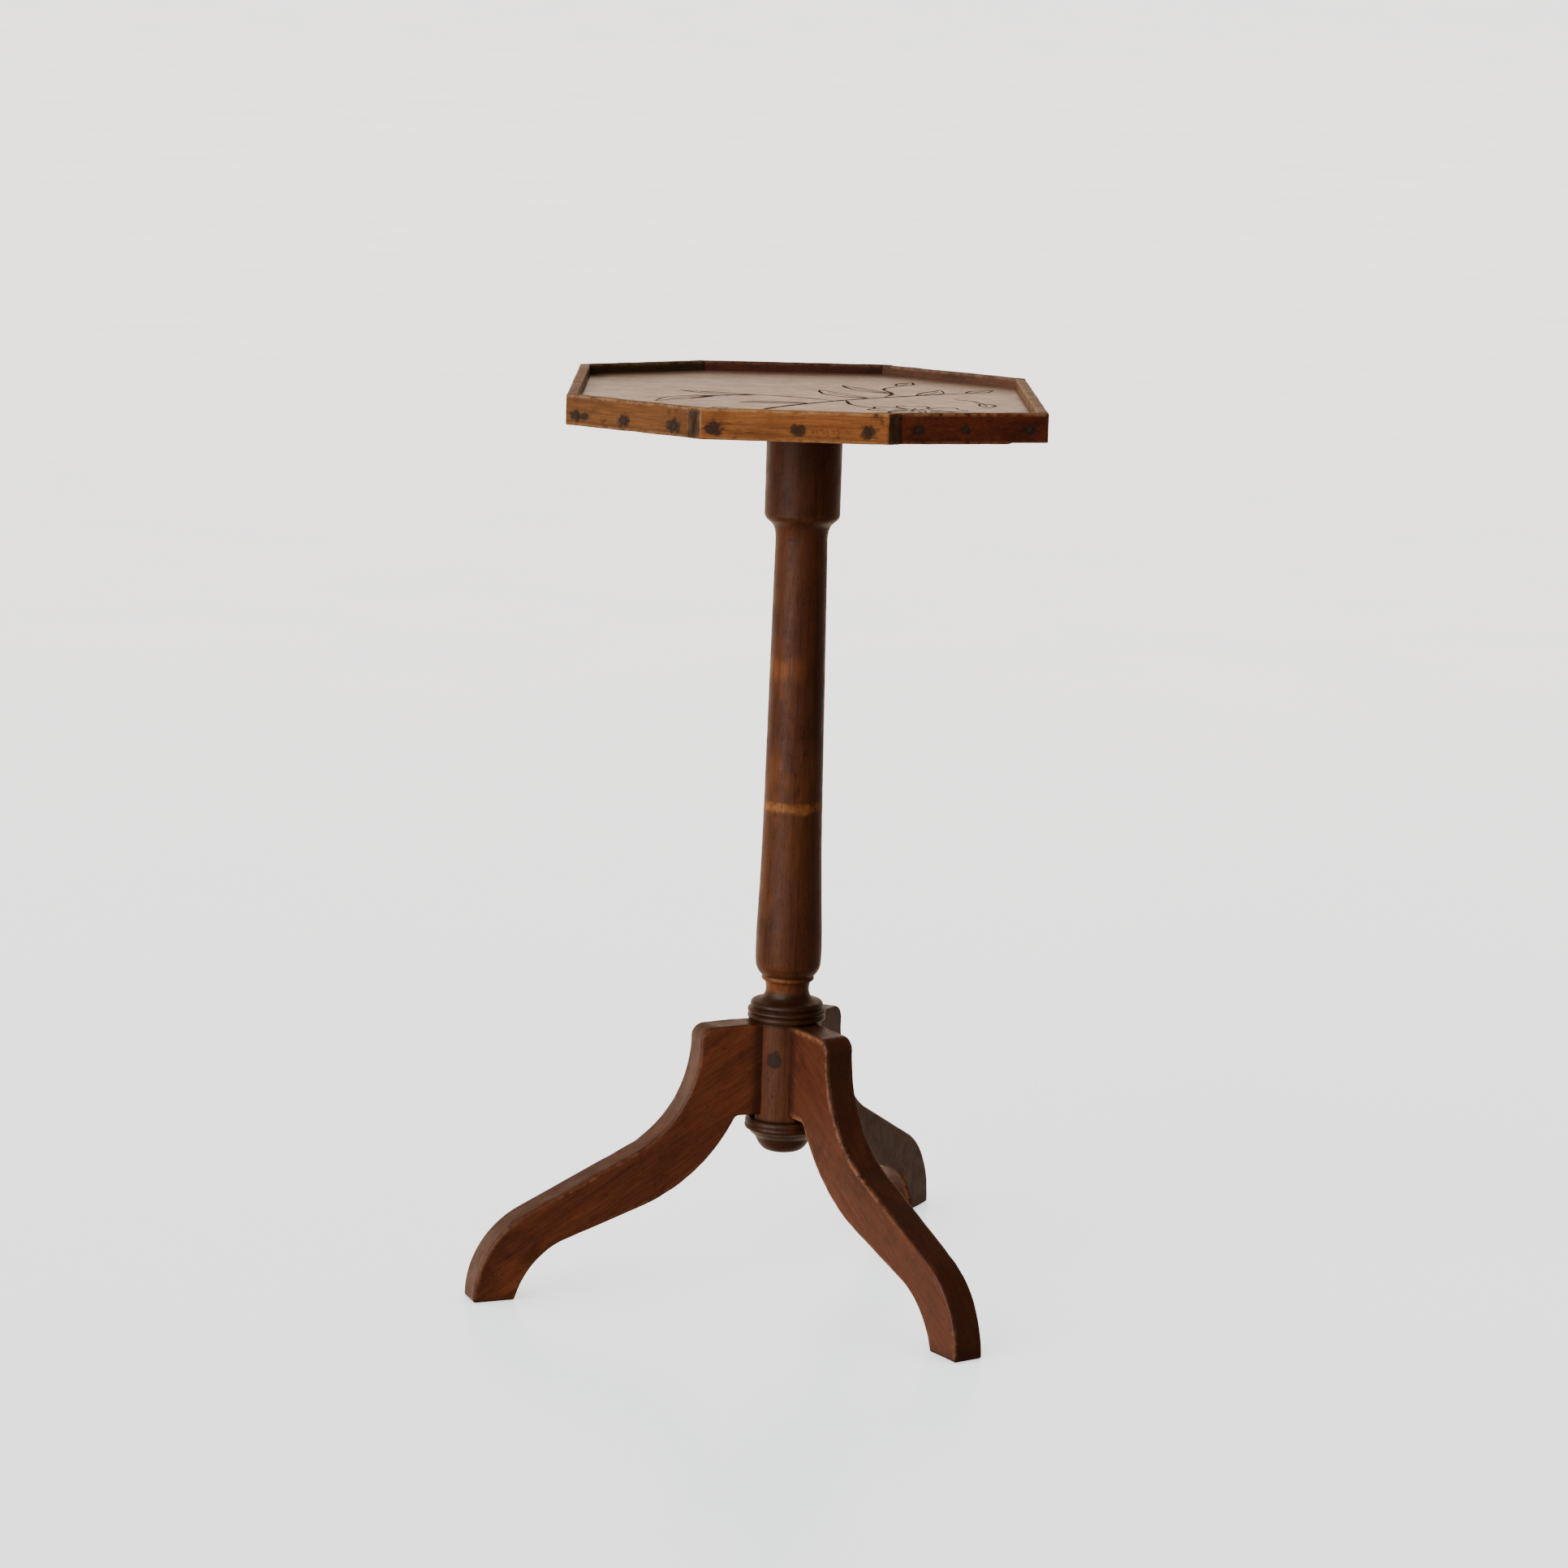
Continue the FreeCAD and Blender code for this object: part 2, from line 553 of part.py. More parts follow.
def drop_finial():
    """Turned drop that closes the dovetail slots, glued into the hub by its spigot."""
    top = HUB_BOTTOM
    groove = top - 0.5 * FINIAL_RING_HEIGHT
    ring_low = top - FINIAL_RING_HEIGHT
    cup_low = ring_low - 6.0
    end = top - FINIAL_LENGTH
    profile = [
        ("start", [(0, end)]),
        ("line", [(FINIAL_END_RADIUS, end)]),
        ("spline", [(FINIAL_END_RADIUS + 2.6, end + 0.6), (FINIAL_WAIST_RADIUS - 3.0, end + 4.6),
                    (FINIAL_WAIST_RADIUS, cup_low - 1.6)]),
        ("line", [(FINIAL_WAIST_RADIUS + 0.9, cup_low)]),
        ("arc", [(FINIAL_CUP_RADIUS - 3.4, cup_low + 1.8), (FINIAL_CUP_RADIUS, ring_low - 0.6)]),
        ("line", [(RING_RADIUS - 1.4, ring_low)]),
        bulge(ring_low, groove - 0.3, RING_RADIUS - 0.8, RING_RADIUS - 0.1),
        ("line", [(RING_RADIUS - 1.2, groove)]),
        ("line", [(RING_RADIUS - 0.6, groove + 0.3)]),
        ("arc", [(RING_RADIUS - 0.6, groove + 2.4), (HUB_RADIUS + 1.0, top)]),
        ("line", [(SPIGOT_RADIUS, top)]),
        ("line", [(SPIGOT_RADIUS, top + SPIGOT_LENGTH)]),
        ("line", [(0, top + SPIGOT_LENGTH)]),
    ]
    return turned(profile)


# ---------------------------------------------------------------- legs
def leg(azimuth):
    """Sawn S-curved leg with softened edges and a dovetail at its root."""
    top = HUB_TOP - LEG_TOP_GAP
    root = HUB_BOTTOM + LEG_ROOT
    inside = HUB_RADIUS * 0.7
    outline = [
        ((inside, top), 0),
        ((KNEE_REACH, top - 1.5), KNEE_ROUND),
        ((KNEE_REACH, BACK_BEND_HEIGHT), BACK_BEND_RADIUS),
        ((FOOT_REACH, TOE_BEND_HEIGHT), TOE_BEND_RADIUS),
        ((FOOT_REACH, 0), TOE_ROUND),
        ((FOOT_REACH - SOLE_LENGTH, 0), 0),
        ((FOOT_REACH - ANKLE_DEPTH, HEEL_BEND_HEIGHT), HEEL_BEND_RADIUS),
        ((BELLY_REACH, BELLY_HEIGHT), BELLY_RADIUS),
        ((SHOULDER_REACH, root), SHOULDER_ROUND),
        ((inside, root), 0),
    ]
    half = LEG_THICKNESS / 2
    face = rounded_face([(V(r, -half, z), radius) for (r, z), radius in outline])
    blank = face.extrude(V(0, LEG_THICKNESS, 0))
    softened = []
    for edge in blank.Edges:
        middle = edge.valueAt((edge.FirstParameter + edge.LastParameter) / 2)
        on_side = abs(abs(middle.y) - half) < 0.01
        if on_side and middle.x > HUB_RADIUS and middle.z > 0.5:
            softened.append(edge)
    blank = blank.makeFillet(LEG_EDGE_ROUND, softened)
    blank = blank.cut(Part.makeCylinder(HUB_RADIUS, 2 * top, V(0, 0, 0)))
    blank.rotate(V(0, 0, 0), V(0, 0, 1), azimuth)
    low, high = tail_span()
    return blank.fuse(dovetail(azimuth, 0, low, high)).removeSplitter()


# ---------------------------------------------------------------- tray pieces
def top_board():
    """Flat board inside the rim, with the holes of its nails and screws."""
    plan = []
    for index in range(8):
        plan.append(line_meet(side_line(index - 1, RIM_THICKNESS), side_line(index, RIM_THICKNESS)))
    shape = prism(plan, BOARD_BOTTOM, BOARD_TOP)
    cutters = rim_nails(NAIL_CLEARANCE) + bearer_screws(SCREW_CLEARANCE)
    cutters.append(button_screw(SCREW_CLEARANCE))
    return shape.cut(Part.makeCompound(cutters))


def rim_board(index):
    """One rim board with eased long edges and its nail holes."""
    shape = prism(rim_plan(index), RIM_BOTTOM, TABLE_HEIGHT)
    _, (ux, uy) = side_line(index, 0)
    long_edges = []
    for edge in shape.Edges:
        along = edge.tangentAt(edge.FirstParameter)
        if abs(along.x * ux + along.y * uy) > 0.999:
            long_edges.append(edge)
    shape = shape.makeFillet(RIM_EASE, long_edges)
    return shape.cut(Part.makeCompound(rim_nails(NAIL_CLEARANCE)))


def main():
    os.makedirs("parts", exist_ok=True)
    save(pillar(), "pillar")
    save(drop_finial(), "drop_finial")
    save(hub_nail(0), "hub_nail")
    for name, azimuth in LEG_AZIMUTHS.items():
        save(leg(azimuth), name)
    save(tilt_block(), "tilt_block")
    save(tenon_wedge(), "tenon_wedge")
    save(top_board(), "top_board")
    for index, name in enumerate(RIM_ORDER):
        save(rim_board(index), name)
    save(Part.makeCompound(rim_nails(0)), "rim_nails")
    for side, place in ((-1, "front"), (1, "rear")):
        save(bearer(side), "bearer_" + place)
        save(pivot_pin(side, 0), "pivot_pin_" + place)
    save(Part.makeCompound(bearer_screws(0)), "bearer_screws")
    save(turn_button(), "turn_button")
    save(button_screw(0), "turn_button_screw")


main()
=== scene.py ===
"""Looks of a small tilt-top table: an eight-sided tray on a turned pillar with three legs.

The legs, pillar, drop, tray board and rim boards are rebuilt as dense, slightly uneven, worn meshes
in the place of their CAD nodes; the other pieces keep their CAD shapes, their edges eased.
Metres, +Z up, +X to the right, +Y to the rear.
"""

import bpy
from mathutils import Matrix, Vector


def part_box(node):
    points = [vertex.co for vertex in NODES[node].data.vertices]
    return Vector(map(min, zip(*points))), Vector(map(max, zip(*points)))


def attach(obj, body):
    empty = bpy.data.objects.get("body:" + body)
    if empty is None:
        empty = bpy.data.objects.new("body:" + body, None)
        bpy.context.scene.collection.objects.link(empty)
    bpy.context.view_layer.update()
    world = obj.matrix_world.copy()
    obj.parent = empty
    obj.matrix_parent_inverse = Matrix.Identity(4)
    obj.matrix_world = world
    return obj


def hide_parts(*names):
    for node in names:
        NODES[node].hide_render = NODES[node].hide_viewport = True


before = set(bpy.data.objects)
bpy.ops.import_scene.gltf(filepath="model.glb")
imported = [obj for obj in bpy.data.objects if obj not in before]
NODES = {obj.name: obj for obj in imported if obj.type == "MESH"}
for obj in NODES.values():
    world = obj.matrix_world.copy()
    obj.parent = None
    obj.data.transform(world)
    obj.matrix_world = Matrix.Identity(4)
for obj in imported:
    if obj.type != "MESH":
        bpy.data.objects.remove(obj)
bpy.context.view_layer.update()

import math
import bmesh
import bpy
import numpy as np
from mathutils import Matrix, Vector, noise
from mathutils.bvhtree import BVHTree

MM = 0.001

# camera, as seen from the front: a long lens a little above the tray, rolled a little
CAMERA_DISTANCE = 3.347
CAMERA_HEIGHT = 0.9964
CAMERA_PAN = math.radians(-0.13)
CAMERA_PITCH = math.radians(10.24)
CAMERA_ROLL = math.radians(-1.79)
CAMERA_LENS = 101.1         # millimetres on a 36 mm wide sensor

# azimuths of the legs about the pillar's axis
LEG_AZIMUTHS = {"leg_left": 202.0, "leg_right": -56.0, "leg_rear": 64.0}


# ------------------------------------------------------------------ small helpers
def noise_at(points, scale, seed=0.0):
    """Smooth noise from -1 to 1 at each point, with features about 1/scale metres wide."""
    shift = Vector((seed * 3.7, seed * 1.3, seed * 2.1))
    return np.array([noise.noise(Vector(p) * scale + shift) for p in points])


def smooth_step(value, low, high):
    """0 below low, 1 above high, smooth between."""
    t = np.clip((value - low) / (high - low), 0, 1)
    return t * t * (3 - 2 * t)


def make_object(name, points, faces, body, material, replaces=(), marks=None):
    """Mesh object that rides on a body, with per-point marks for its material."""
    mesh = bpy.data.meshes.new(name)
    mesh.from_pydata([tuple(p) for p in points], [], faces)
    shell = bmesh.new()
    shell.from_mesh(mesh)
    bmesh.ops.recalc_face_normals(shell, faces=shell.faces)
    shell.to_mesh(mesh)
    shell.free()
    for mark, values in (marks or {}).items():
        layer = mesh.attributes.new(mark, "FLOAT", "POINT")
        layer.data.foreach_set("value", np.asarray(values, np.float32))
    mesh.shade_smooth()
    piece = bpy.data.objects.new(name, mesh)
    bpy.context.scene.collection.objects.link(piece)
    mesh.materials.append(material)
    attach(piece, body)
    if replaces:
        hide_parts(*replaces)
    return piece


# ------------------------------------------------------------------ node materials
class Graph:
    """A short way to write a material's nodes."""

    def __init__(self, name):
        self.material = bpy.data.materials.new(name)
        self.material.use_nodes = True
        self.tree = self.material.node_tree
        self.shader = self.tree.nodes["Principled BSDF"]

    def node(self, kind, settings=None, **inputs):
        made = self.tree.nodes.new(kind)
        for key, value in (settings or {}).items():
            setattr(made, key, value)
        for key, value in inputs.items():
            self.put(made.inputs[key.replace("_", " ")], value)
        return made

    def put(self, socket, value):
        if isinstance(value, bpy.types.NodeSocket):
            self.tree.links.new(value, socket)
        else:
            socket.default_value = value

    def math(self, operation, a, b=0.0, clamp=False):
        made = self.tree.nodes.new("ShaderNodeMath")
        made.operation = operation
        made.use_clamp = clamp
        self.put(made.inputs[0], a)
        self.put(made.inputs[1], b)
        return made.outputs[0]

    def ramp(self, value, low, high, to_low=0.0, to_high=1.0):
        made = self.tree.nodes.new("ShaderNodeMapRange")
        made.interpolation_type = "SMOOTHSTEP"
        for socket, amount in zip(made.inputs, (value, low, high, to_low, to_high)):
            self.put(socket, amount)
        return made.outputs[0]

    def mix(self, share, a, b, blend="MIX"):
        made = self.tree.nodes.new("ShaderNodeMix")
        made.data_type = "RGBA"
        made.blend_type = blend
        made.clamp_factor = True
        self.put(made.inputs[0], share)
        self.put(made.inputs[6], a)
        self.put(made.inputs[7], b)
        return made.outputs[2]

    def noise(self, where, scale, detail=3.0, rough=0.5, distortion=0.0):
        made = self.node("ShaderNodeTexNoise", Vector=where, Scale=scale, Detail=detail,
                         Roughness=rough, Distortion=distortion)
        return made.outputs[0]

    def mark(self, name):
        return self.node("ShaderNodeAttribute", {"attribute_name": name}).outputs["Fac"]


def rgb(red, green, blue):
    return (red, green, blue, 1.0)


def wood(name, deep, body, glow, worn, turn=(0, 0, 0), rough=0.42, coat=0.25, figure=0.5,
         streaks=0.5, bump=1.0, gloss=0.22, ending=None):
    """Old stained wood. Its grain runs along the object's Z after turn, in degrees.

    deep, body and glow are the dark streaks, the main colour and the lighter patches, glow also
    colouring the painted highlights that the glow mark lays on; worn is the bare wood that shows
    along rubbed edges, and ending is the colour of a sawn end. The grime mark darkens the wood,
    partly as real grime and partly as painted shade.
    """
    g = Graph(name)
    place = g.node("ShaderNodeTexCoord").outputs["Object"]
    turned = g.node("ShaderNodeMapping", {"vector_type": "TEXTURE"}, Vector=place,
                    Rotation=tuple(math.radians(a) for a in turn)).outputs[0]
    along = g.node("ShaderNodeMapping", Vector=turned, Scale=(1.0, 1.0, 0.035)).outputs[0]
    slow = g.node("ShaderNodeMapping", Vector=turned, Scale=(1.0, 1.0, 0.22)).outputs[0]
    short = g.node("ShaderNodeMapping", Vector=turned, Scale=(1.0, 1.0, 0.11)).outputs[0]

    fibre = g.noise(along, 1150.0, 5.0, 0.62)
    streak = g.noise(along, 240.0, 4.0, 0.6, 0.4)
    flame = g.noise(slow, 27.0, 4.0, 0.58, 0.8)
    blotch = g.noise(place, 15.0, 5.0, 0.62, 0.3)
    speck = g.noise(place, 210.0, 4.0, 0.65)
    ticks = g.ramp(g.noise(short, 1300.0, 2.0, 0.45), 0.62, 0.72)

    tone = g.mix(g.math("MULTIPLY", g.ramp(streak, 0.46, 0.70), streaks), body, deep)
    light = g.math("MULTIPLY", g.ramp(flame, 0.46, 0.70), figure)
    # the glow mark lays on lighter patches: on the pillar a rubbed band and painted highlights
    light = g.math("ADD", light, g.math("MULTIPLY", g.mark("glow"), g.ramp(streak, 0.22, 0.60)), True)
    tone = g.mix(light, tone, glow)
    tone = g.mix(g.math("MULTIPLY", g.ramp(blotch, 0.50, 0.32), 0.6), tone, deep)
    tone = g.mix(0.85, tone, g.ramp(fibre, 0.30, 0.72, 0.70, 1.22), "MULTIPLY")
    tone = g.mix(g.math("MULTIPLY", g.ramp(speck, 0.60, 0.72), 0.45), tone, rgb(*(0.5 * c for c in deep[:3])))
    tone = g.mix(g.math("MULTIPLY", ticks, 0.55), tone, rgb(*(0.40 * c for c in deep[:3])))
    if ending:
        tone = g.mix(g.mark("ending"), tone, ending)

    rub_noise = g.ramp(g.noise(place, 150.0, 5.0, 0.7), 0.38, 0.60)
    rub = g.math("MULTIPLY", g.mark("wear"), rub_noise, True)
    tone = g.mix(rub, tone, worn)
    stain_edge = g.ramp(g.noise(place, 260.0, 5.0, 0.7), 0.32, 0.68, 0.1, 1.15)
    stain = g.math("SUBTRACT", g.math("MULTIPLY", g.mark("stain"), 2.0), stain_edge, True)
    tone = g.mix(g.math("MULTIPLY", g.ramp(stain, 0.0, 1.0), 0.84), tone, rgb(0.016, 0.009, 0.007))
    # the grime mark darkens: real grime and scratches in places, painted shade where parts meet
    grime_and_shade = g.math("MULTIPLY", g.mark("grime_and_shade"), g.ramp(blotch, 0.25, 0.6, 0.75, 1.0), True)
    tone = g.mix(g.math("MULTIPLY", grime_and_shade, 0.75), tone, rgb(*(0.35 * c for c in deep[:3])))
    g.put(g.shader.inputs["Base Color"], tone)

    dull = g.ramp(g.noise(place, 60.0, 4.0, 0.6), 0.3, 0.7, rough - 0.07, rough + 0.10)
    dull = g.math("ADD", dull, g.math("MULTIPLY", g.math("MAXIMUM", rub, stain), 0.16), True)
    g.put(g.shader.inputs["Roughness"], dull)
    g.shader.inputs["Coat Weight"].default_value = coat
    g.shader.inputs["Coat Roughness"].default_value = 0.24
    g.shader.inputs["Specular IOR Level"].default_value = gloss

    height = g.math("ADD", g.math("MULTIPLY", fibre, 0.55), g.math("MULTIPLY", streak, 0.45))
    height = g.math("SUBTRACT", height, g.math("MULTIPLY", ticks, 0.5))
    dents = g.math("MULTIPLY", g.noise(place, 95.0, 3.0, 0.5), 1.4)
    height = g.math("ADD", height, dents)
    bumps = g.node("ShaderNodeBump", Height=height, Strength=0.30 * bump, Distance=0.0005)
    g.put(g.shader.inputs["Normal"], bumps.outputs[0])
    return g.material


def iron(name):
    """Old iron, brown-black with rust."""
    g = Graph(name)
    place = g.node("ShaderNodeTexCoord").outputs["Object"]
    rust = g.ramp(g.noise(place, 900.0, 5.0, 0.7), 0.42, 0.62)
    tone = g.mix(rust, rgb(0.024, 0.017, 0.013), rgb(0.050, 0.022, 0.012))
    g.put(g.shader.inputs["Base Color"], tone)
    g.put(g.shader.inputs["Roughness"], g.ramp(rust, 0.0, 1.0, 0.48, 0.85))
    g.shader.inputs["Metallic"].default_value = 0.35
    bumps = g.node("ShaderNodeBump", Height=g.noise(place, 1400.0, 4.0, 0.6), Strength=0.6,
                   Distance=0.0004)
    g.put(g.shader.inputs["Normal"], bumps.outputs[0])
    return g.material


def ink(name):
    """Brown-black ink, faded unevenly."""
    g = Graph(name)
    place = g.node("ShaderNodeTexCoord").outputs["Object"]
    fade = g.ramp(g.noise(place, 90.0, 4.0, 0.6), 0.3, 0.72)
    g.put(g.shader.inputs["Base Color"], g.mix(fade, rgb(0.012, 0.007, 0.006), rgb(0.055, 0.032, 0.024)))
    g.shader.inputs["Roughness"].default_value = 0.85
    g.shader.inputs["Specular IOR Level"].default_value = 0.08
    return g.material


# ------------------------------------------------------------------ lofted pieces
def side_places(length):
    """Distances along a flat side, closer together near its corners."""
    near = [0.7 * MM, 1.8 * MM]
    middle = max(2, round((length - 2 * near[-1]) / (3.0 * MM)))
    between = np.linspace(near[-1], length - near[-1], middle + 1)[1:-1]
    return near + list(between) + [length - d for d in reversed(near)]


def loft(stations, cap_end=True):
    """Skin through rings of equal length, with flat caps."""
    count = len(stations[0])
    points = [p for ring in stations for p in ring]
    faces = []
    for i in range(len(stations) - 1):
        for j in range(count):
            k = (j + 1) % count
            faces.append((i * count + j, i * count + k, (i + 1) * count + k, (i + 1) * count + j))
    faces.append(tuple(reversed(range(count))))
    if cap_end:
        last = (len(stations) - 1) * count
        faces.append(tuple(last + j for j in range(count)))
    return points, faces


def outward(line, away):
    """Unit normals of a line of points, in the plane it shares with the line away from it."""
    ahead = np.gradient(line, axis=0)
    ahead /= np.linalg.norm(ahead, axis=1)[:, None]
    normal = (line - away) - ahead * ((line - away) * ahead).sum(axis=1)[:, None]
    return normal / np.linalg.norm(normal, axis=1)[:, None]


def slanted(line, other, normal):
    """Steps of unit depth into a bar from one side: square to it, and along the cut at its ends."""
    along = (line - other) / ((line - other) * normal).sum(axis=1)[:, None]
    place = np.arange(len(line))
    near = np.clip(1 - np.minimum(place, place[::-1]) / 6, 0, 1)[:, None]
    return normal + (along - normal) * near


def worn_bar(inner, outer, across, half, radius, seed, uneven=0.12, chip=0.3):
    """Bar between two lines of points, with rounded, worn edges and ends.

    inner and outer are two opposite sides' points at each station. across is the unit direction
    of the other two sides, and half is half the size along it. Returns points, faces, how
    worn each point is, which way it faces, and 1 for the points of a sawn end.
    """
    inner = np.asarray(inner, float)
    outer = np.asarray(outer, float)
    across = np.asarray(across, float)
    middle = (inner + outer) / 2
    out_normal = outward(outer, inner)
    in_normal = outward(inner, outer)
    ahead = (middle[1] - middle[0]) / np.linalg.norm(middle[1] - middle[0])
    back = (middle[-2] - middle[-1]) / np.linalg.norm(middle[-2] - middle[-1])
    last = len(inner) - 1
    turns = [math.radians(a) for a in (0, 25, 50, 70)]
    cap = 1.0 + 2.0 * MM / radius
    sections = [(0, cap, 0 * ahead)] + [(0, 1 - math.sin(a), ahead * (1 - math.cos(a))) for a in turns]
    sections += [(i, 0.0, (ahead if i == 0 else back if i == last else 0 * ahead)) for i in range(last + 1)]
    sections += [(last, 1 - math.sin(a), back * (1 - math.cos(a))) for a in reversed(turns)]
    sections += [(last, cap, 0 * back)]
    rings = []
    wears = []
    pushes = []
    ends = []
    out_step = slanted(outer, inner, out_normal)
    in_step = slanted(inner, outer, in_normal)
    corners = [(outer, out_step, out_normal, 1), (outer, out_step, out_normal, -1),
               (inner, in_step, in_normal, -1), (inner, in_step, in_normal, 1)]
    quarter = [math.radians(a) for a in (0, 22, 45, 68, 90)]
    totals = [2 * (half - radius), float(np.median(np.linalg.norm(outer - inner, axis=1))) - 2 * radius]
    spans = [side_places(total) for total in totals]
    for number, (i, inset, slide) in enumerate(sections):
        shrink = radius * inset
        curve = max(radius - shrink, 1e-5)
        anchors = []
        for line, step, normal, sign in corners:
            anchors.append((line[i] - step[i] * (shrink + curve)
                            + across * sign * (half - shrink - curve) + slide * radius, normal[i], sign))
        ring = []
        push = []
        edge = []
        for k, (anchor, normal, sign) in enumerate(anchors):
            first = k % 2 == 0
            start, end = (across * sign, normal) if first else (normal, across * sign)
            for a in quarter:
                way = start * math.cos(a) + end * math.sin(a)
                ring.append(anchor + way * curve)
                push.append(way)
                edge.append(1.0)
            following = anchors[(k + 1) % 4]
            flat = normal if first else across * sign
            here = ring[-1]
            there = following[0] + (following[1] if first else across * following[2]) * curve
            kind = 0 if first else 1
            for far in spans[kind]:
                ring.append(here + (there - here) * far / totals[kind])
                push.append(flat)
                edge.append(smooth_step(min(far, totals[kind] - far), 1.8 * MM, 0.0))
        base = np.array(ring)
        push = np.array(push)
        edge = np.array(edge, float)
        if number in (0, len(sections) - 1):
            edge[:] = 0.0
        elif number <= len(turns) or number >= len(sections) - len(turns) - 1:
            edge = np.maximum(edge, 0.35 if inset == 1 else 0.8)
        slow = noise_at(base, 26.0, seed) * uneven * MM
        fine = smooth_step(noise_at(base, 70.0, seed + 5), -0.1, 0.6) * chip * MM
        rings.append(base + push * (np.minimum(slow, 0.0) - edge * fine)[:, None])
        wears.append(edge)
        pushes.append(push)
        ends.append(np.full(len(base), 1.0 if inset > 0.5 else 0.0))
    points, faces = loft(rings)
    return np.array(points), faces, np.concatenate(wears), np.concatenate(pushes), np.concatenate(ends)


# ------------------------------------------------------------------ turned pieces
def turned_outline(node, azimuth, levels):
    """Radius of a turned CAD node at each level, found along one azimuth."""
    mesh = NODES[node].data
    tree = BVHTree.FromPolygons([v.co for v in mesh.vertices], [tuple(p.vertices) for p in mesh.polygons])
    towards = Vector((-math.cos(azimuth), -math.sin(azimuth), 0))
    radii = []
    for level in levels:
        start = Vector((0, 0, level)) - towards * 0.1
        hit = tree.ray_cast(start, towards)[0]
        radii.append(math.hypot(hit.x, hit.y) if hit else 0.0)
    return radii


def turned_mesh(levels, radii, sides, seed):
    """Slightly uneven turned skin through radii at levels, closed at both ends.

    Returns points, faces and the wear of each point, from how proud its ring is.
    """
    radii = np.array(radii)
    levels = np.array(levels)
    coarse = np.linspace(levels[0], levels[-1], 90)
    proud = radii - np.interp(levels, coarse, np.interp(coarse, levels, radii))
    rings = []
    wears = []
    for level, radius, lift in zip(levels, radii, proud):
        angles = np.linspace(0, 2 * math.pi, sides, endpoint=False)
        base = np.c_[radius * np.cos(angles), radius * np.sin(angles), np.full(sides, level)]
        out = np.c_[np.cos(angles), np.sin(angles), np.zeros(sides)]
        slow = noise_at(base, 22.0, seed)
        fine = smooth_step(noise_at(base, 90.0, seed + 3), 0.15, 0.7)
        push = ((slow - 1.0) * 0.05 - fine * 0.10) * MM
        rings.append(base + out * push[:, None])
        wears.append(np.full(sides, np.clip(lift / (0.5 * MM), 0, 1)))
    points, faces = loft(rings)
    return np.array(points), faces, np.concatenate(wears)


def levels_between(*spans):
    """Levels over spans of (low, high, step), each low included once."""
    rows = []
    for low, high, step in spans:
        count = max(1, round((high - low) / step))
        rows += [low + (high - low) * i / count for i in range(count)]
    rows.append(spans[-1][1])
    return rows


# ------------------------------------------------------------------ the materials
LEVEL = (0, 90, 0)          # turns the grain from upright to left-right
DARK_WOOD = wood("dark_wood", rgb(0.032, 0.010, 0.0045), rgb(0.086, 0.026, 0.0105),
                 rgb(0.25, 0.080, 0.020), rgb(0.36, 0.150, 0.040), rough=0.42, coat=0.05,
                 figure=0.25, streaks=0.6)
BOARD_WOOD = wood("tray_board", rgb(0.165, 0.090, 0.058), rgb(0.325, 0.200, 0.136),
                  rgb(0.43, 0.285, 0.200), rgb(0.46, 0.33, 0.25), turn=LEVEL, rough=0.38,
                  coat=0.45, figure=0.35, streaks=0.35, bump=0.5, gloss=0.4)
ROUGH_WOOD = wood("rough_wood", rgb(0.055, 0.028, 0.014), rgb(0.135, 0.072, 0.036),
                  rgb(0.20, 0.115, 0.06), rgb(0.27, 0.17, 0.10), turn=LEVEL, rough=0.66, coat=0.0,
                  bump=1.8)
OLD_IRON = iron("old_iron")
INK = ink("ink")


# ------------------------------------------------------------------ legs
LEG_THICKNESS = 25.0 * MM
SIDE_STATIONS = 260
SCAR_REACH = 0.124          # of the bare scar on the right leg's edge


def resample(points, count):
    """The same open line as count points evenly spaced along it."""
    points = np.array(points, float)
    run = np.r_[0, np.cumsum(np.linalg.norm(np.diff(points, axis=0), axis=1))]
    want = np.linspace(0, run[-1], count)
    return np.c_[[np.interp(want, run, points[:, k]) for k in range(points.shape[1])]].T


def rounded_line(corners):
    """Open line through (reach, height, radius) corners, each rounded by its radius.

    Where two roundings would meet on one side, both are made smaller to fit it.
    """
    points = [np.array(c[:2], float) for c in corners]
    count = len(points)
    halves = [math.pi / 2] * count
    for i in range(1, count - 1):
        back = (points[i - 1] - points[i]) / np.linalg.norm(points[i - 1] - points[i])
        ahead = (points[i + 1] - points[i]) / np.linalg.norm(points[i + 1] - points[i])
        halves[i] = math.acos(float(np.clip(back @ ahead, -1, 1))) / 2
    reach = [corner[2] / math.tan(half) for corner, half in zip(corners, halves)]
    fit = [1.0] * count
    for i in range(count - 1):
        side = 0.98 * np.linalg.norm(points[i + 1] - points[i])
        if reach[i] + reach[i + 1] > side:
            share = side / (reach[i] + reach[i + 1])
            fit[i] = min(fit[i], share)
            fit[i + 1] = min(fit[i + 1], share)
    line = [points[0]]
    for i in range(1, count - 1):
        back = (points[i - 1] - points[i]) / np.linalg.norm(points[i - 1] - points[i])
        ahead = (points[i + 1] - points[i]) / np.linalg.norm(points[i + 1] - points[i])
        length = reach[i] * fit[i]
        if length < 1e-6:
            line.append(points[i])
            continue
        radius = length * math.tan(halves[i])
        middle = (back + ahead) / np.linalg.norm(back + ahead)
        centre = points[i] + middle * radius / math.sin(halves[i])
        start = points[i] + back * length - centre
        end = points[i] + ahead * length - centre
        for share in np.linspace(0, 1, 24):
            mixed = start * (1 - share) + end * share
            line.append(centre + mixed * radius / np.linalg.norm(mixed))
    line.append(points[-1])
    return line


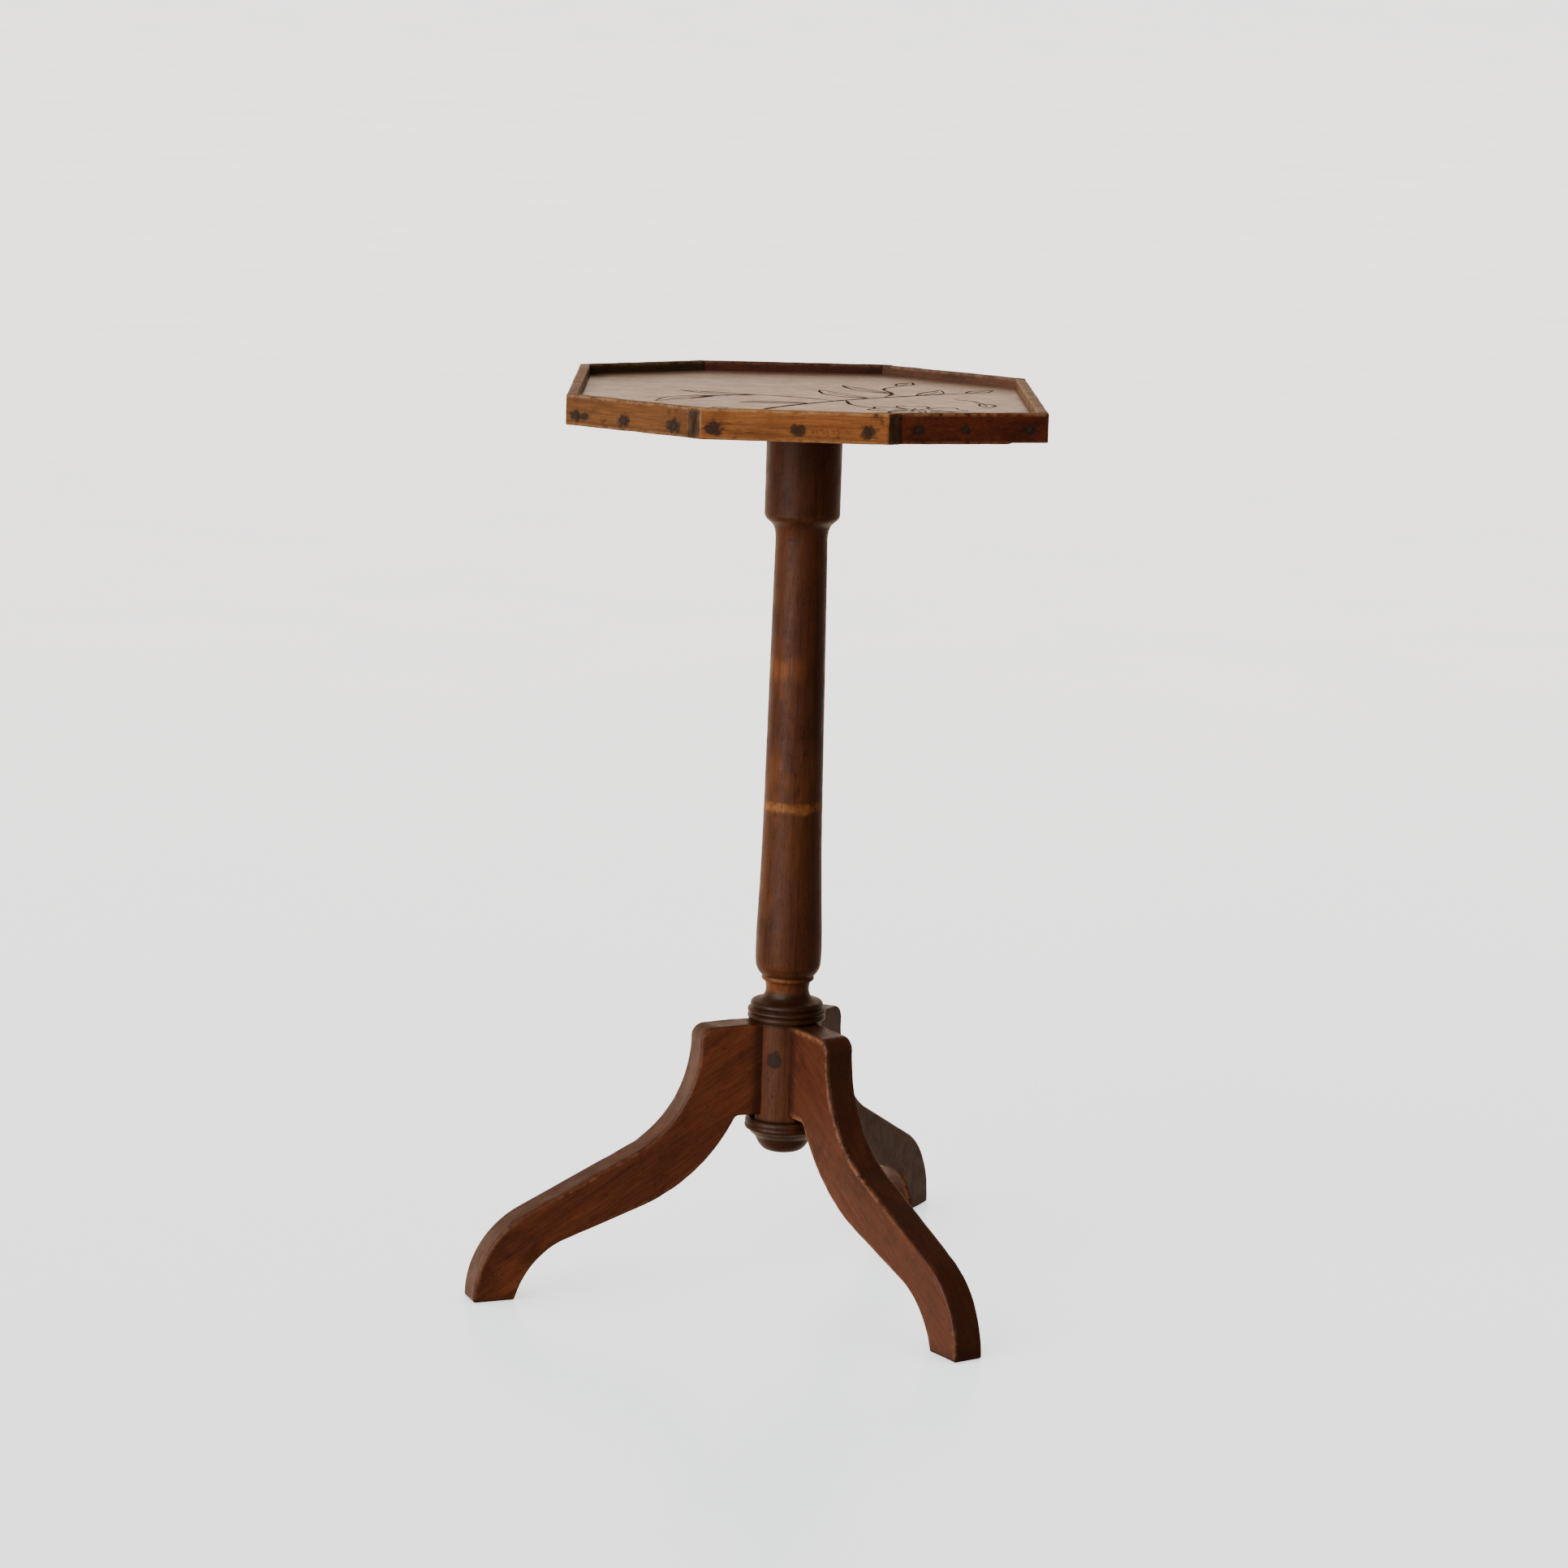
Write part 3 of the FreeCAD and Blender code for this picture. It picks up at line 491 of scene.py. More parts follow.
def leg_lines():
    """The leg's upper and lower outlines as (reach, height) lines, from the hub to the foot."""
    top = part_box("leg_left")[1].z / MM
    inside = 22.0
    upper = rounded_line([(inside, top, 0), (75.0, top - 1.5, 13.0), (75.0, 134.6, 108.0),
                          (255.5, 47.5, 76.0), (255.5, 0.0, 0)])
    lower = rounded_line([(inside, 133.5, 0), (44.3, 133.5, 4.0), (73.5, 83.3, 136.0),
                          (210.0, 34.8, 65.0), (222.5, 0.0, 0)])
    return resample(upper, SIDE_STATIONS) * MM, resample(lower, SIDE_STATIONS) * MM


def make_leg(name, azimuth, seed):
    """One sawn leg: a slab between its two S-curved outlines."""
    upper, lower = leg_lines()
    angle = math.radians(azimuth)
    out = np.array([math.cos(angle), math.sin(angle), 0.0])
    side = np.array([-math.sin(angle), math.cos(angle), 0.0])
    rise = np.array([0.0, 0.0, 1.0])
    over = upper[:, :1] * out + upper[:, 1:] * rise
    under = lower[:, :1] * out + lower[:, 1:] * rise
    points, faces, wear, push, _ = worn_bar(under, over, side, LEG_THICKNESS / 2, 2.0 * MM, seed)
    points[:, 2] = np.maximum(points[:, 2], 0.0)
    reach = points @ out
    # darker marks: painted shade where the leg meets the hub, and darker towards the floor and on the faces
    # turned up and out
    grime_and_shade = smooth_step(reach, 0.036, 0.027) + 0.6 * smooth_step(points[:, 2], 0.012, 0.0)
    grime_and_shade += 0.75 * smooth_step(push @ (out + rise), 0.3, 0.9)
    rub = wear * (0.15 + 0.6 * smooth_step(noise_at(points, 14.0, seed + 30), -0.1, 0.35))
    if name == "leg_left":
        rub *= 0.45
    if name == "leg_right":
        scar = smooth_step(np.abs(reach - SCAR_REACH + 0.004 * noise_at(points, 60.0, 90.0)), 0.013, 0.005)
        scar *= smooth_step(-push @ side, 0.2, 0.6) * smooth_step(push[:, 2], 0.0, 0.3)
        rub = np.maximum(rub, scar * wear)
    make_object(name + "_worn", points, faces, "stand", LEG_WOODS[name],
                [name], {"wear": rub, "grime_and_shade": np.clip(grime_and_shade, 0, 1)})


def leg_wood(name, azimuth):
    """Stained wood with its grain down the leg, its colours scaled per leg as painted light: the lit left leg
    lighter, the rear leg darkest in painted shade.
    """
    # painted light: each leg's colours scaled, lighter for the lit left leg, darker for the shaded rear leg
    painted_light_scale = {"leg_left": 1.2, "leg_right": 1.0, "leg_rear": 0.72}[name]
    deep, body, glow, worn = (rgb(*(painted_light_scale * c for c in colour)) for colour in (
        (0.040, 0.0115, 0.0060), (0.118, 0.034, 0.0155), (0.225, 0.068, 0.024), (0.32, 0.135, 0.060)))
    return wood(name + "_wood", deep, body, glow, worn, turn=(0, 122, azimuth), rough=0.40, coat=0.07,
                figure=0.55, streaks=0.25)


LEG_WOODS = {name: leg_wood(name, azimuth) for name, azimuth in LEG_AZIMUTHS.items()}
for number, (name, azimuth) in enumerate(LEG_AZIMUTHS.items()):
    make_leg(name, azimuth, 3.0 + 4.0 * number)


# ------------------------------------------------------------------ pillar and drop finial
QUIET_AZIMUTH = math.radians(133.0)     # between two legs, clear of the dovetail slots
PILLAR_SIDES = 120
LOW_BAND = 0.3765           # heights of the rubbed band, the faint band painted lighter on the lit side, the cove, the painted highlight strip's middle and the scratches' middle
HIGH_BAND = 0.484           # strip's middle and the scratches' middle
COVE = 0.236
STRIP_MIDDLE = 0.42
SCRATCHES = 0.36
STRIP_AZIMUTH = math.radians(-128.0)


def make_pillar():
    """Turned pillar with its tenon, the slots' open ends, and the stain round the hub nail."""
    low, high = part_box("pillar")
    head_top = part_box("tilt_block")[0].z
    hub = low.z
    levels = levels_between((hub + 0.05 * MM, hub + 0.078, 1.6 * MM),
                            (hub + 0.078, hub + 0.130, 0.35 * MM),
                            (hub + 0.130, head_top - 0.092, 2.2 * MM),
                            (head_top - 0.092, head_top - 0.060, 0.5 * MM),
                            (head_top - 0.060, head_top - 0.1 * MM, 2.0 * MM))
    radii = turned_outline("pillar", QUIET_AZIMUTH, levels)
    points, faces, wear = turned_mesh(levels, radii, PILLAR_SIDES, 11.0)
    angle = np.arctan2(points[:, 1], points[:, 0])
    for azimuth in LEG_AZIMUTHS.values():
        turn = np.abs((angle - math.radians(azimuth) + math.pi) % (2 * math.pi) - math.pi)
        slot = (turn < math.radians(11.0)) & (points[:, 2] < hub + 0.0052)
        points[slot, :2] *= 0.64
    nail = np.array(sum(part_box("hub_nail"), Vector()) / 2)
    nail[:2] *= radii[0] / np.linalg.norm(nail[:2])
    away = np.linalg.norm((points - nail) * (1.0, 1.0, 0.8), axis=1)
    stain = smooth_step(away, 0.0085, 0.0035)
    smudge = nail - np.array([0.0, 0.0, 0.026])
    stain = np.maximum(stain, 0.36 * smooth_step(np.linalg.norm(points - smudge, axis=1), 0.012, 0.003))
    ragged = 0.0022 * noise_at(points * (1.0, 1.0, 0.3), 90.0, 15.0)
    height = points[:, 2]
    low_glow = smooth_step(np.abs(height - LOW_BAND + ragged), 0.0050, 0.0015)
    low_glow *= 0.55 + 0.45 * smooth_step(noise_at(points * (1.0, 1.0, 0.3), 110.0, 19.0), -0.2, 0.2)
    # painted light: the faint band and the cove are made lighter only on the left, the side facing the lamp
    high_band_painted_light = 0.75 * smooth_step(np.abs(height - HIGH_BAND + 2 * ragged), 0.013, 0.002)
    cove = 0.7 * smooth_step(np.abs(height - COVE), 0.010, 0.002)
    # painted highlight: a mottled strip down the side that faces the lamp, strongest near its middle height
    painted_highlight_strip = np.cos(np.clip((angle - STRIP_AZIMUTH) * 2.2, -math.pi / 2, math.pi / 2))
    painted_highlight_strip = painted_highlight_strip * 0.62 * smooth_step(noise_at(points * (1.0, 1.0, 0.5), 85.0, 16.0), -0.3, 0.5)
    painted_highlight_strip *= 0.35 + 0.65 * smooth_step(np.abs(height - STRIP_MIDDLE), 0.08, 0.03)
    scratch = smooth_step(noise_at(points * (1.0, 1.0, 0.55), 210.0, 17.0), 0.30, 0.55)
    scratch *= smooth_step(noise_at(points, 30.0, 18.0), 0.0, 0.4)
    scratch *= smooth_step(np.abs(height - SCRATCHES), 0.11, 0.07)
    # painted light on the front of the hub
    hub_painted_light = 0.12 * smooth_step(np.abs(height - hub - 0.034), 0.040, 0.022)
    front = smooth_step(-points[:, 1] / 0.02, -0.2, 0.5)
    left = smooth_step(-points[:, 0] / 0.02, -0.9, 0.5)
    # lighter marks: the rubbed band is real wear, the other marks are painted light
    glow = np.maximum(front * np.maximum(low_glow, hub_painted_light),
                      np.maximum(left * np.maximum(high_band_painted_light, cove), painted_highlight_strip))
    # darker marks: a line at the ring and a band just above it, the real scratches, and painted shade over
    # the lowest 4 mm, where the pillar meets the drop
    ring = hub + 0.0785
    grime_and_shade = 0.9 * smooth_step(np.abs(height - ring), 0.004, 0.0)
    grime_and_shade = np.maximum(grime_and_shade, 0.95 * smooth_step(np.abs(height - ring - 0.011), 0.013, 0.008))
    grime_and_shade = np.maximum(grime_and_shade, 0.8 * scratch)
    grime_and_shade = np.maximum(grime_and_shade, smooth_step(height, hub + 0.004, hub))
    make_object("pillar_worn", points, faces, "stand", DARK_WOOD, ["pillar"],
                {"wear": np.maximum(0.10 * wear, 0.8 * front * low_glow), "stain": stain, "grime_and_shade": grime_and_shade,
                 "glow": glow})
    tenon_radius = turned_outline("pillar", QUIET_AZIMUTH, [head_top + 0.006])[0]
    levels = levels_between((head_top - 0.001, high.z - 0.0006, 1.0 * MM),
                            (high.z - 0.0006, high.z - 0.0001, 0.25 * MM))
    radii = [tenon_radius - (0.4 * MM if level > high.z - 0.0004 else 0.0) for level in levels]
    points, faces, wear = turned_mesh(levels, radii, 72, 12.0)
    make_object("pillar_tenon", points, faces, "stand", ROUGH_WOOD, (), {"wear": wear})


def make_finial():
    """Turned drop under the hub."""
    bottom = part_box("drop_finial")[0].z
    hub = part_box("pillar")[0].z
    levels = levels_between((bottom + 0.1 * MM, hub - 0.05 * MM, 0.3 * MM))
    radii = turned_outline("drop_finial", QUIET_AZIMUTH, levels)
    levels = [bottom + 0.02 * MM] + levels
    radii = [radii[0] - 0.8 * MM] + radii
    points, faces, wear = turned_mesh(levels, radii, PILLAR_SIDES, 13.0)
    # darker marks: a line round a groove, painted shade where the drop meets the hub, and the whole drop
    # darker
    grime_and_shade = smooth_step(np.abs(points[:, 2] - (hub - 0.0152)), 0.002, 0.0)
    grime_and_shade = np.maximum(grime_and_shade, smooth_step(points[:, 2], hub - 0.003, hub) * 0.7)
    make_object("drop_finial_worn", points, faces, "stand", DARK_WOOD, ["drop_finial"],
                {"wear": 0.12 * wear, "grime_and_shade": np.maximum(grime_and_shade, 0.7)})


make_pillar()
make_finial()


# ------------------------------------------------------------------ tray rim
def plan_corners(node, count):
    """The few corners of a CAD node seen from above, counter-clockwise."""
    spots = sorted({(round(v.co.x, 6), round(v.co.y, 6)) for v in NODES[node].data.vertices})
    hull = []
    for run in (spots, spots[::-1]):
        side = []
        for p in run:
            while len(side) > 1 and cross_of(side[-2], side[-1], p) <= 0:
                side.pop()
            side.append(p)
        hull += side[:-1]
    while len(hull) > count:
        size = [cross_of(hull[i - 1], hull[i], hull[(i + 1) % len(hull)]) for i in range(len(hull))]
        hull.pop(int(np.argmin(size)))
    return np.array(hull)


def cross_of(a, b, c):
    return (b[0] - a[0]) * (c[1] - b[1]) - (b[1] - a[1]) * (c[0] - b[0])


def islands(node):
    """The separate bodies of a CAD node, each as an array of its points."""
    mesh = NODES[node].data
    keys = [tuple(np.round(v.co, 6)) for v in mesh.vertices]
    owner = {key: key for key in keys}

    def top(key):
        while owner[key] != key:
            owner[key] = owner[owner[key]]
            key = owner[key]
        return key

    for polygon in mesh.polygons:
        first, *others = [keys[i] for i in polygon.vertices]
        for other in others:
            owner[top(other)] = top(first)
    groups = {}
    for key in sorted(owner):
        groups.setdefault(top(key), []).append(key)
    return [np.array(group) for group in groups.values()]


HONEY = dict(deep=rgb(0.110, 0.034, 0.009), body=rgb(0.335, 0.116, 0.029), glow=rgb(0.47, 0.190, 0.054),
             worn=rgb(0.46, 0.26, 0.11), ending=rgb(0.050, 0.024, 0.012))
AMBER = dict(deep=rgb(0.080, 0.027, 0.007), body=rgb(0.205, 0.077, 0.020), glow=rgb(0.29, 0.122, 0.034),
             worn=rgb(0.38, 0.23, 0.11), ending=rgb(0.050, 0.024, 0.012))
RED = dict(deep=rgb(0.026, 0.0065, 0.003), body=rgb(0.116, 0.0200, 0.0070), glow=rgb(0.185, 0.044, 0.013),
           worn=rgb(0.30, 0.15, 0.065), ending=rgb(0.05, 0.03, 0.02))
MAROON = dict(deep=rgb(0.020, 0.0055, 0.003), body=rgb(0.070, 0.0165, 0.0080), glow=rgb(0.120, 0.034, 0.014),
              worn=rgb(0.22, 0.12, 0.065), ending=rgb(0.05, 0.03, 0.02))
RUSSET = dict(deep=rgb(0.040, 0.017, 0.009), body=rgb(0.115, 0.043, 0.022), glow=rgb(0.185, 0.078, 0.040),
              worn=rgb(0.36, 0.22, 0.13), ending=rgb(0.05, 0.03, 0.02))
TAN = dict(deep=rgb(0.085, 0.033, 0.012), body=rgb(0.20, 0.085, 0.032), glow=rgb(0.30, 0.145, 0.06),
           worn=rgb(0.42, 0.27, 0.15), ending=rgb(0.09, 0.05, 0.03))
OLIVE = dict(deep=rgb(0.018, 0.010, 0.004), body=rgb(0.050, 0.027, 0.010), glow=rgb(0.10, 0.055, 0.02),
             worn=rgb(0.32, 0.20, 0.10), ending=rgb(0.03, 0.02, 0.01))
RIM_LOOKS = {"rim_front": HONEY, "rim_front_left": AMBER, "rim_front_right": RED, "rim_right": TAN,
             "rim_rear_right": RUSSET, "rim_rear": MAROON, "rim_rear_left": OLIVE, "rim_left": TAN}


def make_rim_board(name, number, nails):
    """One board of the rim, its top edge rubbed pale and dark stains round its nails."""
    corners = plan_corners(name, 4)
    runs = [np.linalg.norm(corners[(i + 1) % 4] - corners[i]) for i in range(4)]
    k = int(np.argmax([runs[i] + runs[(i + 2) % 4] for i in range(2)]))
    sides = [(corners[k], corners[(k + 1) % 4]), (corners[(k + 3) % 4], corners[(k + 2) % 4])]
    sides.sort(key=lambda side: np.linalg.norm(side[0] + side[1]))
    low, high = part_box(name)
    middle = (low.z + high.z) / 2
    stations = np.linspace(0, 1, 2 + round(runs[k] / (2.0 * MM)))[:, None]
    inner, outer = (np.c_[start + (end - start) * stations, np.full(len(stations), middle)]
                    for start, end in sides)
    points, faces, wear, _, ends = worn_bar(inner, outer, (0, 0, 1), (high.z - low.z) / 2, 1.0 * MM,
                                            40.0 + 3 * number, uneven=0.25, chip=0.35)
    ahead = (sides[1][1] - sides[1][0]) / np.linalg.norm(sides[1][1] - sides[1][0])
    out = np.array([ahead[1], -ahead[0]])
    if out @ sides[1][0] < 0:
        out = -out
    face = sides[1][0] @ out
    proud = points[:, :2] @ out
    run = (points[:, :2] - sides[1][0]) @ ahead
    if name == "rim_front_right":
        gone = smooth_step(run, runs[k] * 0.27, runs[k] * 0.25) if ahead[0] < 0 else smooth_step(
            run, runs[k] * 0.73, runs[k] * 0.75)
        points[:, 2] += 0.9 * MM * gone * smooth_step(points[:, 2], low.z + 0.003, low.z)
    stain = np.zeros(len(points))
    outside = smooth_step(proud, face - 0.004, face - 0.001)
    for n, nail in enumerate(nails):
        centre = nail.mean(axis=0)
        head = nail[np.argmax(nail[:, :2] @ out)]
        off = (centre[:2] - sides[1][0]) @ ahead
        if abs(head[:2] @ out - face) > 0.004 or not -0.002 < off < runs[k] + 0.002:
            continue
        reach = (3.2 + 3.4 * abs(math.sin(5.1 * n + number))) * MM
        away = np.hypot((run - off) * 0.75, points[:, 2] - centre[2])
        stain = np.maximum(stain, outside * smooth_step(away, reach * 1.5, reach * 0.15))
        dent = outside * smooth_step(np.hypot(run - off, points[:, 2] - centre[2]), 5.5 * MM, 3.0 * MM)
        points[:, :2] -= np.outer(0.2 * MM * dent, out)
    if RIM_LOOKS[name] in (HONEY, AMBER):
        smudge = smooth_step(noise_at(points * (1.0, 1.0, 1.4), 60.0, 80.0 + number), 0.12, 0.45)
        stain = np.maximum(stain, 0.42 * outside * smudge)
    rub = wear * np.where(points[:, 2] > middle, 0.4 if name.startswith("rim_rear") else 0.75, 0.5)
    make_object(name + "_worn", points, faces, "tray",
                RIM_WOODS[name], [name],
                {"wear": rub, "stain": stain * (1 - ends), "ending": ends})


RIM_WOODS = {}
for name, look in RIM_LOOKS.items():
    centre = sum(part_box(name), Vector()) / 2
    if abs(centre.y) < 0.05:
        heading = 90.0
    else:
        heading = 0.0 if abs(centre.x) < 0.05 else (90.0 + math.degrees(math.atan2(centre.y, centre.x)))
    RIM_WOODS[name] = wood(name + "_wood", turn=(0, 90, heading), rough=0.52, coat=0.06, figure=0.45,
                           streaks=0.55, bump=1.2, **look)
nails = islands("rim_nails")
for number, name in enumerate(RIM_LOOKS):
    make_rim_board(name, number, nails)


# ------------------------------------------------------------------ tray board
BOARD_SIDES = 320


def board_lift(points):
    """How far the old board's surface is off flat, at each point."""
    flat = np.c_[np.array(points)[:, :2], np.zeros(len(points))]
    return (0.16 * noise_at(flat, 9.0, 61.0) + 0.05 * noise_at(flat, 60.0, 62.0)) * MM


def make_board():
    low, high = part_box("top_board")
    corners = plan_corners("top_board", 8)
    outline = resample(np.r_[corners, corners[:1]], BOARD_SIDES + 1)[:-1]
    shares = list(np.linspace(0.02, 0.985, 40)) + [0.996, 1.0]
    rings = [np.c_[outline * share, np.full(BOARD_SIDES, low.z)] for share in shares]
    rings += [np.c_[outline, np.full(BOARD_SIDES, level)]
              for level in np.linspace(low.z, high.z, 4)[1:-1]]
    rings += [np.c_[outline * share, np.full(BOARD_SIDES, high.z)] for share in reversed(shares)]
    points, faces = loft(rings)
    points = np.array(points)
    inside = np.linalg.norm(points[:, :2], axis=1) < 0.985 * np.tile(
        np.linalg.norm(outline, axis=1), len(rings))
    points[:, 2] += np.where(inside, board_lift(points) - 0.2 * MM * np.sign(points[:, 2] - 0.6875), 0.0)
    edge = np.repeat([1.0 - share for share in shares] + [0, 0] + [1.0 - s for s in reversed(shares)],
                     BOARD_SIDES)
    # darker near the board's edge, on top and underneath
    grime_and_shade = 0.8 * smooth_step(edge, 0.09, 0.01)
    make_object("top_board_worn", points, faces, "tray", BOARD_WOOD, ["top_board"],
                {"grime_and_shade": grime_and_shade, "glow": 0.8 * smooth_step(points[:, 0], -0.05, 0.14)})
    return high.z


board_top = make_board()


# ------------------------------------------------------------------ ink drawing on the board
def curve_through(points, count=60):
    """Smooth line through a few (x, y) points, in millimetres."""
    p = np.array(points, float)
    p = np.r_[[2 * p[0] - p[1]], p, [2 * p[-1] - p[-2]]]
    line = []
    for i in range(1, len(p) - 2):
        for t in np.linspace(0, 1, 14, endpoint=False):
            line.append(0.5 * (2 * p[i] + (p[i + 1] - p[i - 1]) * t
                               + (2 * p[i - 1] - 5 * p[i] + 4 * p[i + 1] - p[i + 2]) * t * t
                               + (3 * p[i] - p[i - 1] - 3 * p[i + 1] + p[i + 2]) * t ** 3))
    line.append(p[-2])
    return resample(line, count)


def leaf(base, tip, belly, curl=0.0):
    """A leaf's two edges and its vein, from base to tip, belly wide."""
    base = np.array(base, float)
    tip = np.array(tip, float)
    along = tip - base
    side = np.array([-along[1], along[0]]) / np.linalg.norm(along)
    bend = side * curl

    def at(share, off):
        return base + along * share + side * off + bend * 4 * share * (1 - share)

    upper = [base, at(0.22, 0.75 * belly), at(0.5, belly), at(0.8, 0.45 * belly), tip]
    lower = [base, at(0.25, -0.6 * belly), at(0.55, -0.85 * belly), at(0.82, -0.35 * belly), tip]
    vein = [base, at(0.3, 0.0), at(0.72, 0.02 * belly)]
    return [(upper, 1.3), (lower, 1.0), (vein, 0.7)]


def blossom(centre, reach, petals, turn):
    """A round flower: notched petals, a small ring and stamens."""
    lines = []
    for n in range(petals):
        a = turn + 2 * math.pi * n / petals
        size = reach * (1.0 + 0.10 * math.sin(3.0 * n + 1.0))

        def spot(share, swing):
            return (centre[0] + size * share * math.cos(a + swing),
                    centre[1] + size * share * math.sin(a + swing))

        lines.append(([spot(0.22, -0.25), spot(0.6, -0.56), spot(0.94, -0.36), spot(0.86, 0.02)], 1.2))
        lines.append(([spot(0.86, 0.02), spot(1.0, 0.30), spot(0.64, 0.55), spot(0.22, 0.25)], 1.0))
        lines.append(([spot(0.26, 0.0), spot(0.50, 0.05)], 0.8))
    ring = [(centre[0] + 0.15 * reach * math.cos(t), centre[1] + 0.15 * reach * math.sin(t))
            for t in np.linspace(0.2, 6.3, 9)]
    return lines + [(ring, 1.1)]


def drawing():
    """The flourish's lines: name, list of (points, width), in millimetres on the tray."""
    stem = [([(-42, -182), (-37, -140), (-18, -95), (14, -48), (48, -8), (84, 26), (124, 60)], 2.3),
            ([(22, -38), (-4, -16), (-36, -8), (-66, -22), (-86, -48)], 1.7),
            ([(60, 6), (66, 38), (60, 74), (72, 104)], 1.3),
            ([(30, -30), (34, -62), (48, -84), (60, -92)], 1.4),
            ([(-40, -158), (-58, -150), (-70, -132), (-66, -116), (-56, -122), (-60, -134)], 1.0)]
    leaves = (leaf((-36, -8), (-96, 12), 9.0, 5.0) + leaf((-66, -22), (-112, -82), 9.5, -7.0)
              + leaf((2, -62), (-50, -70), 8.0, -5.0) + leaf((48, -8), (10, 52), 10.0, 6.0)
              + leaf((84, 26), (104, 82), 7.5, -5.0) + leaf((-37, -140), (-2, -172), 8.0, 4.0)
              + leaf((66, 38), (28, 96), 7.5, 4.0))
    flower = blossom((84, -92), 36.0, 5, 0.5)
    buds = (leaf((124, 60), (146, 92), 7.0, 0.0) + leaf((72, 104), (84, 140), 6.5, 0.0)
            + [([(112, 4), (126, -6), (132, -22)], 1.2)] + leaf((132, -22), (136, -56), 6.5, 2.0))
    return {"ink_stem": stem, "ink_leaves": leaves, "ink_blossom": flower, "ink_buds": buds}


def make_ink(name, lines, seed):
    """Thin, tapered strokes that lie on the board."""
    points = []
    faces = []
    for number, (line, width) in enumerate(lines):
        count = max(12, round(np.linalg.norm(np.diff(np.array(line, float), axis=0), axis=1).sum() / 1.2))
        path = curve_through(line, count) * MM
        wobble = np.c_[noise_at(np.c_[path, np.zeros(count)], 130.0, seed + number),
                       noise_at(np.c_[path, np.zeros(count)], 130.0, seed + number + 50)]
        path = path + wobble * 0.35 * MM
        step = np.gradient(path, axis=0)
        side = np.c_[-step[:, 1], step[:, 0]] / np.linalg.norm(step, axis=1)[:, None]
        share = np.linspace(0, 1, count)
        press = 0.75 + 0.35 * noise_at(np.c_[path, np.zeros(count)], 70.0, seed + number + 9)
        wide = 2.5 * width * MM * press * (0.25 + 0.75 * np.minimum(1, 7 * np.minimum(share, 1 - share)))
        level = board_top - 0.2 * MM + board_lift(path)
        rings = []
        for i in range(count):
            ring = []
            for off, lift in ((-0.5, 0.02), (-0.28, -0.08), (0.28, -0.08), (0.5, 0.02), (0.3, 0.12),
                              (-0.3, 0.12)):
                spot = path[i] + side[i] * off * wide[i]
                ring.append((spot[0], spot[1], level[i] + lift * MM))
            rings.append(ring)
        some, more = loft(rings)
        faces += [tuple(len(points) + i for i in face) for face in more]
        points += some
    make_object(name, points, faces, "tray", INK)


for number, (name, lines) in enumerate(drawing().items()):
    make_ink(name, lines, 70.0 + 7 * number)


# ------------------------------------------------------------------ CAD pieces shown as they are
def dress(node, material, ease):
    """Gives a shown CAD node its material, its edges eased."""
    piece = NODES[node]
    piece.data.materials.clear()
    piece.data.materials.append(material)
    weld = piece.modifiers.new("weld", "WELD")
    weld.merge_threshold = 2e-6
    bevel = piece.modifiers.new("ease", "BEVEL")
    bevel.width = ease
    bevel.segments = 2
    bevel.limit_method = "ANGLE"
    bevel.angle_limit = math.radians(40)
    bevel.use_clamp_overlap = True


for name in ("bearer_front", "bearer_rear", "turn_button", "tilt_block", "tenon_wedge"):
    dress(name, ROUGH_WOOD, 0.6 * MM)
for name in ("hub_nail", "rim_nails", "bearer_screws", "turn_button_screw", "pivot_pin_front",
             "pivot_pin_rear"):
    dress(name, OLD_IRON, 0.15 * MM)


# ------------------------------------------------------------------ stage, light and camera
def make_stage():
    """Pale, slightly glossy floor that curves up gently far away, past the horizon."""
    profile = [(1.0, 0.0)] + [(8.0 + 72.0 * t, 24.0 * t ** 2.5) for t in np.linspace(0, 1, 19)]
    rings = [[(r * math.cos(a), r * math.sin(a), z - 0.0004)
              for a in np.linspace(0, 2 * math.pi, 96, endpoint=False)] for r, z in profile]
    points, faces = loft(rings, cap_end=False)
    mesh = bpy.data.meshes.new("floor")
    mesh.from_pydata(points, [], [face[::-1] for face in faces])
    mesh.shade_smooth()
    floor = bpy.data.objects.new("floor", mesh)
    bpy.context.scene.collection.objects.link(floor)
    g = Graph("floor")
    place = g.node("ShaderNodeTexCoord").outputs["Object"]
    patch = g.math("MULTIPLY", g.noise(place, 60.0, 3.0, 0.6), 0.3)
    patch = g.math("ADD", g.noise(place, 2.5, 3.0, 0.5), patch)
    tone = g.mix(g.ramp(patch, 0.4, 0.9), rgb(0.80, 0.795, 0.785), rgb(0.84, 0.835, 0.825))
    g.put(g.shader.inputs["Base Color"], tone)
    g.shader.inputs["Emission Color"].default_value = rgb(0.80, 0.845, 0.885)
    # painted contact shadow: the floor's glow dims where the table stands close, round the feet
    near = g.node("ShaderNodeAmbientOcclusion", {"samples": 12}, Distance=0.11).outputs["AO"]
    g.put(g.shader.inputs["Emission Strength"], g.ramp(near, 0.25, 1.0, 1.25, 2.05))
    g.put(g.shader.inputs["Roughness"], g.ramp(patch, 0.4, 0.9, 0.16, 0.24))
    floor.data.materials.append(g.material)
    floor.visible_diffuse = False
    floor.visible_glossy = False
    floor.visible_shadow = False


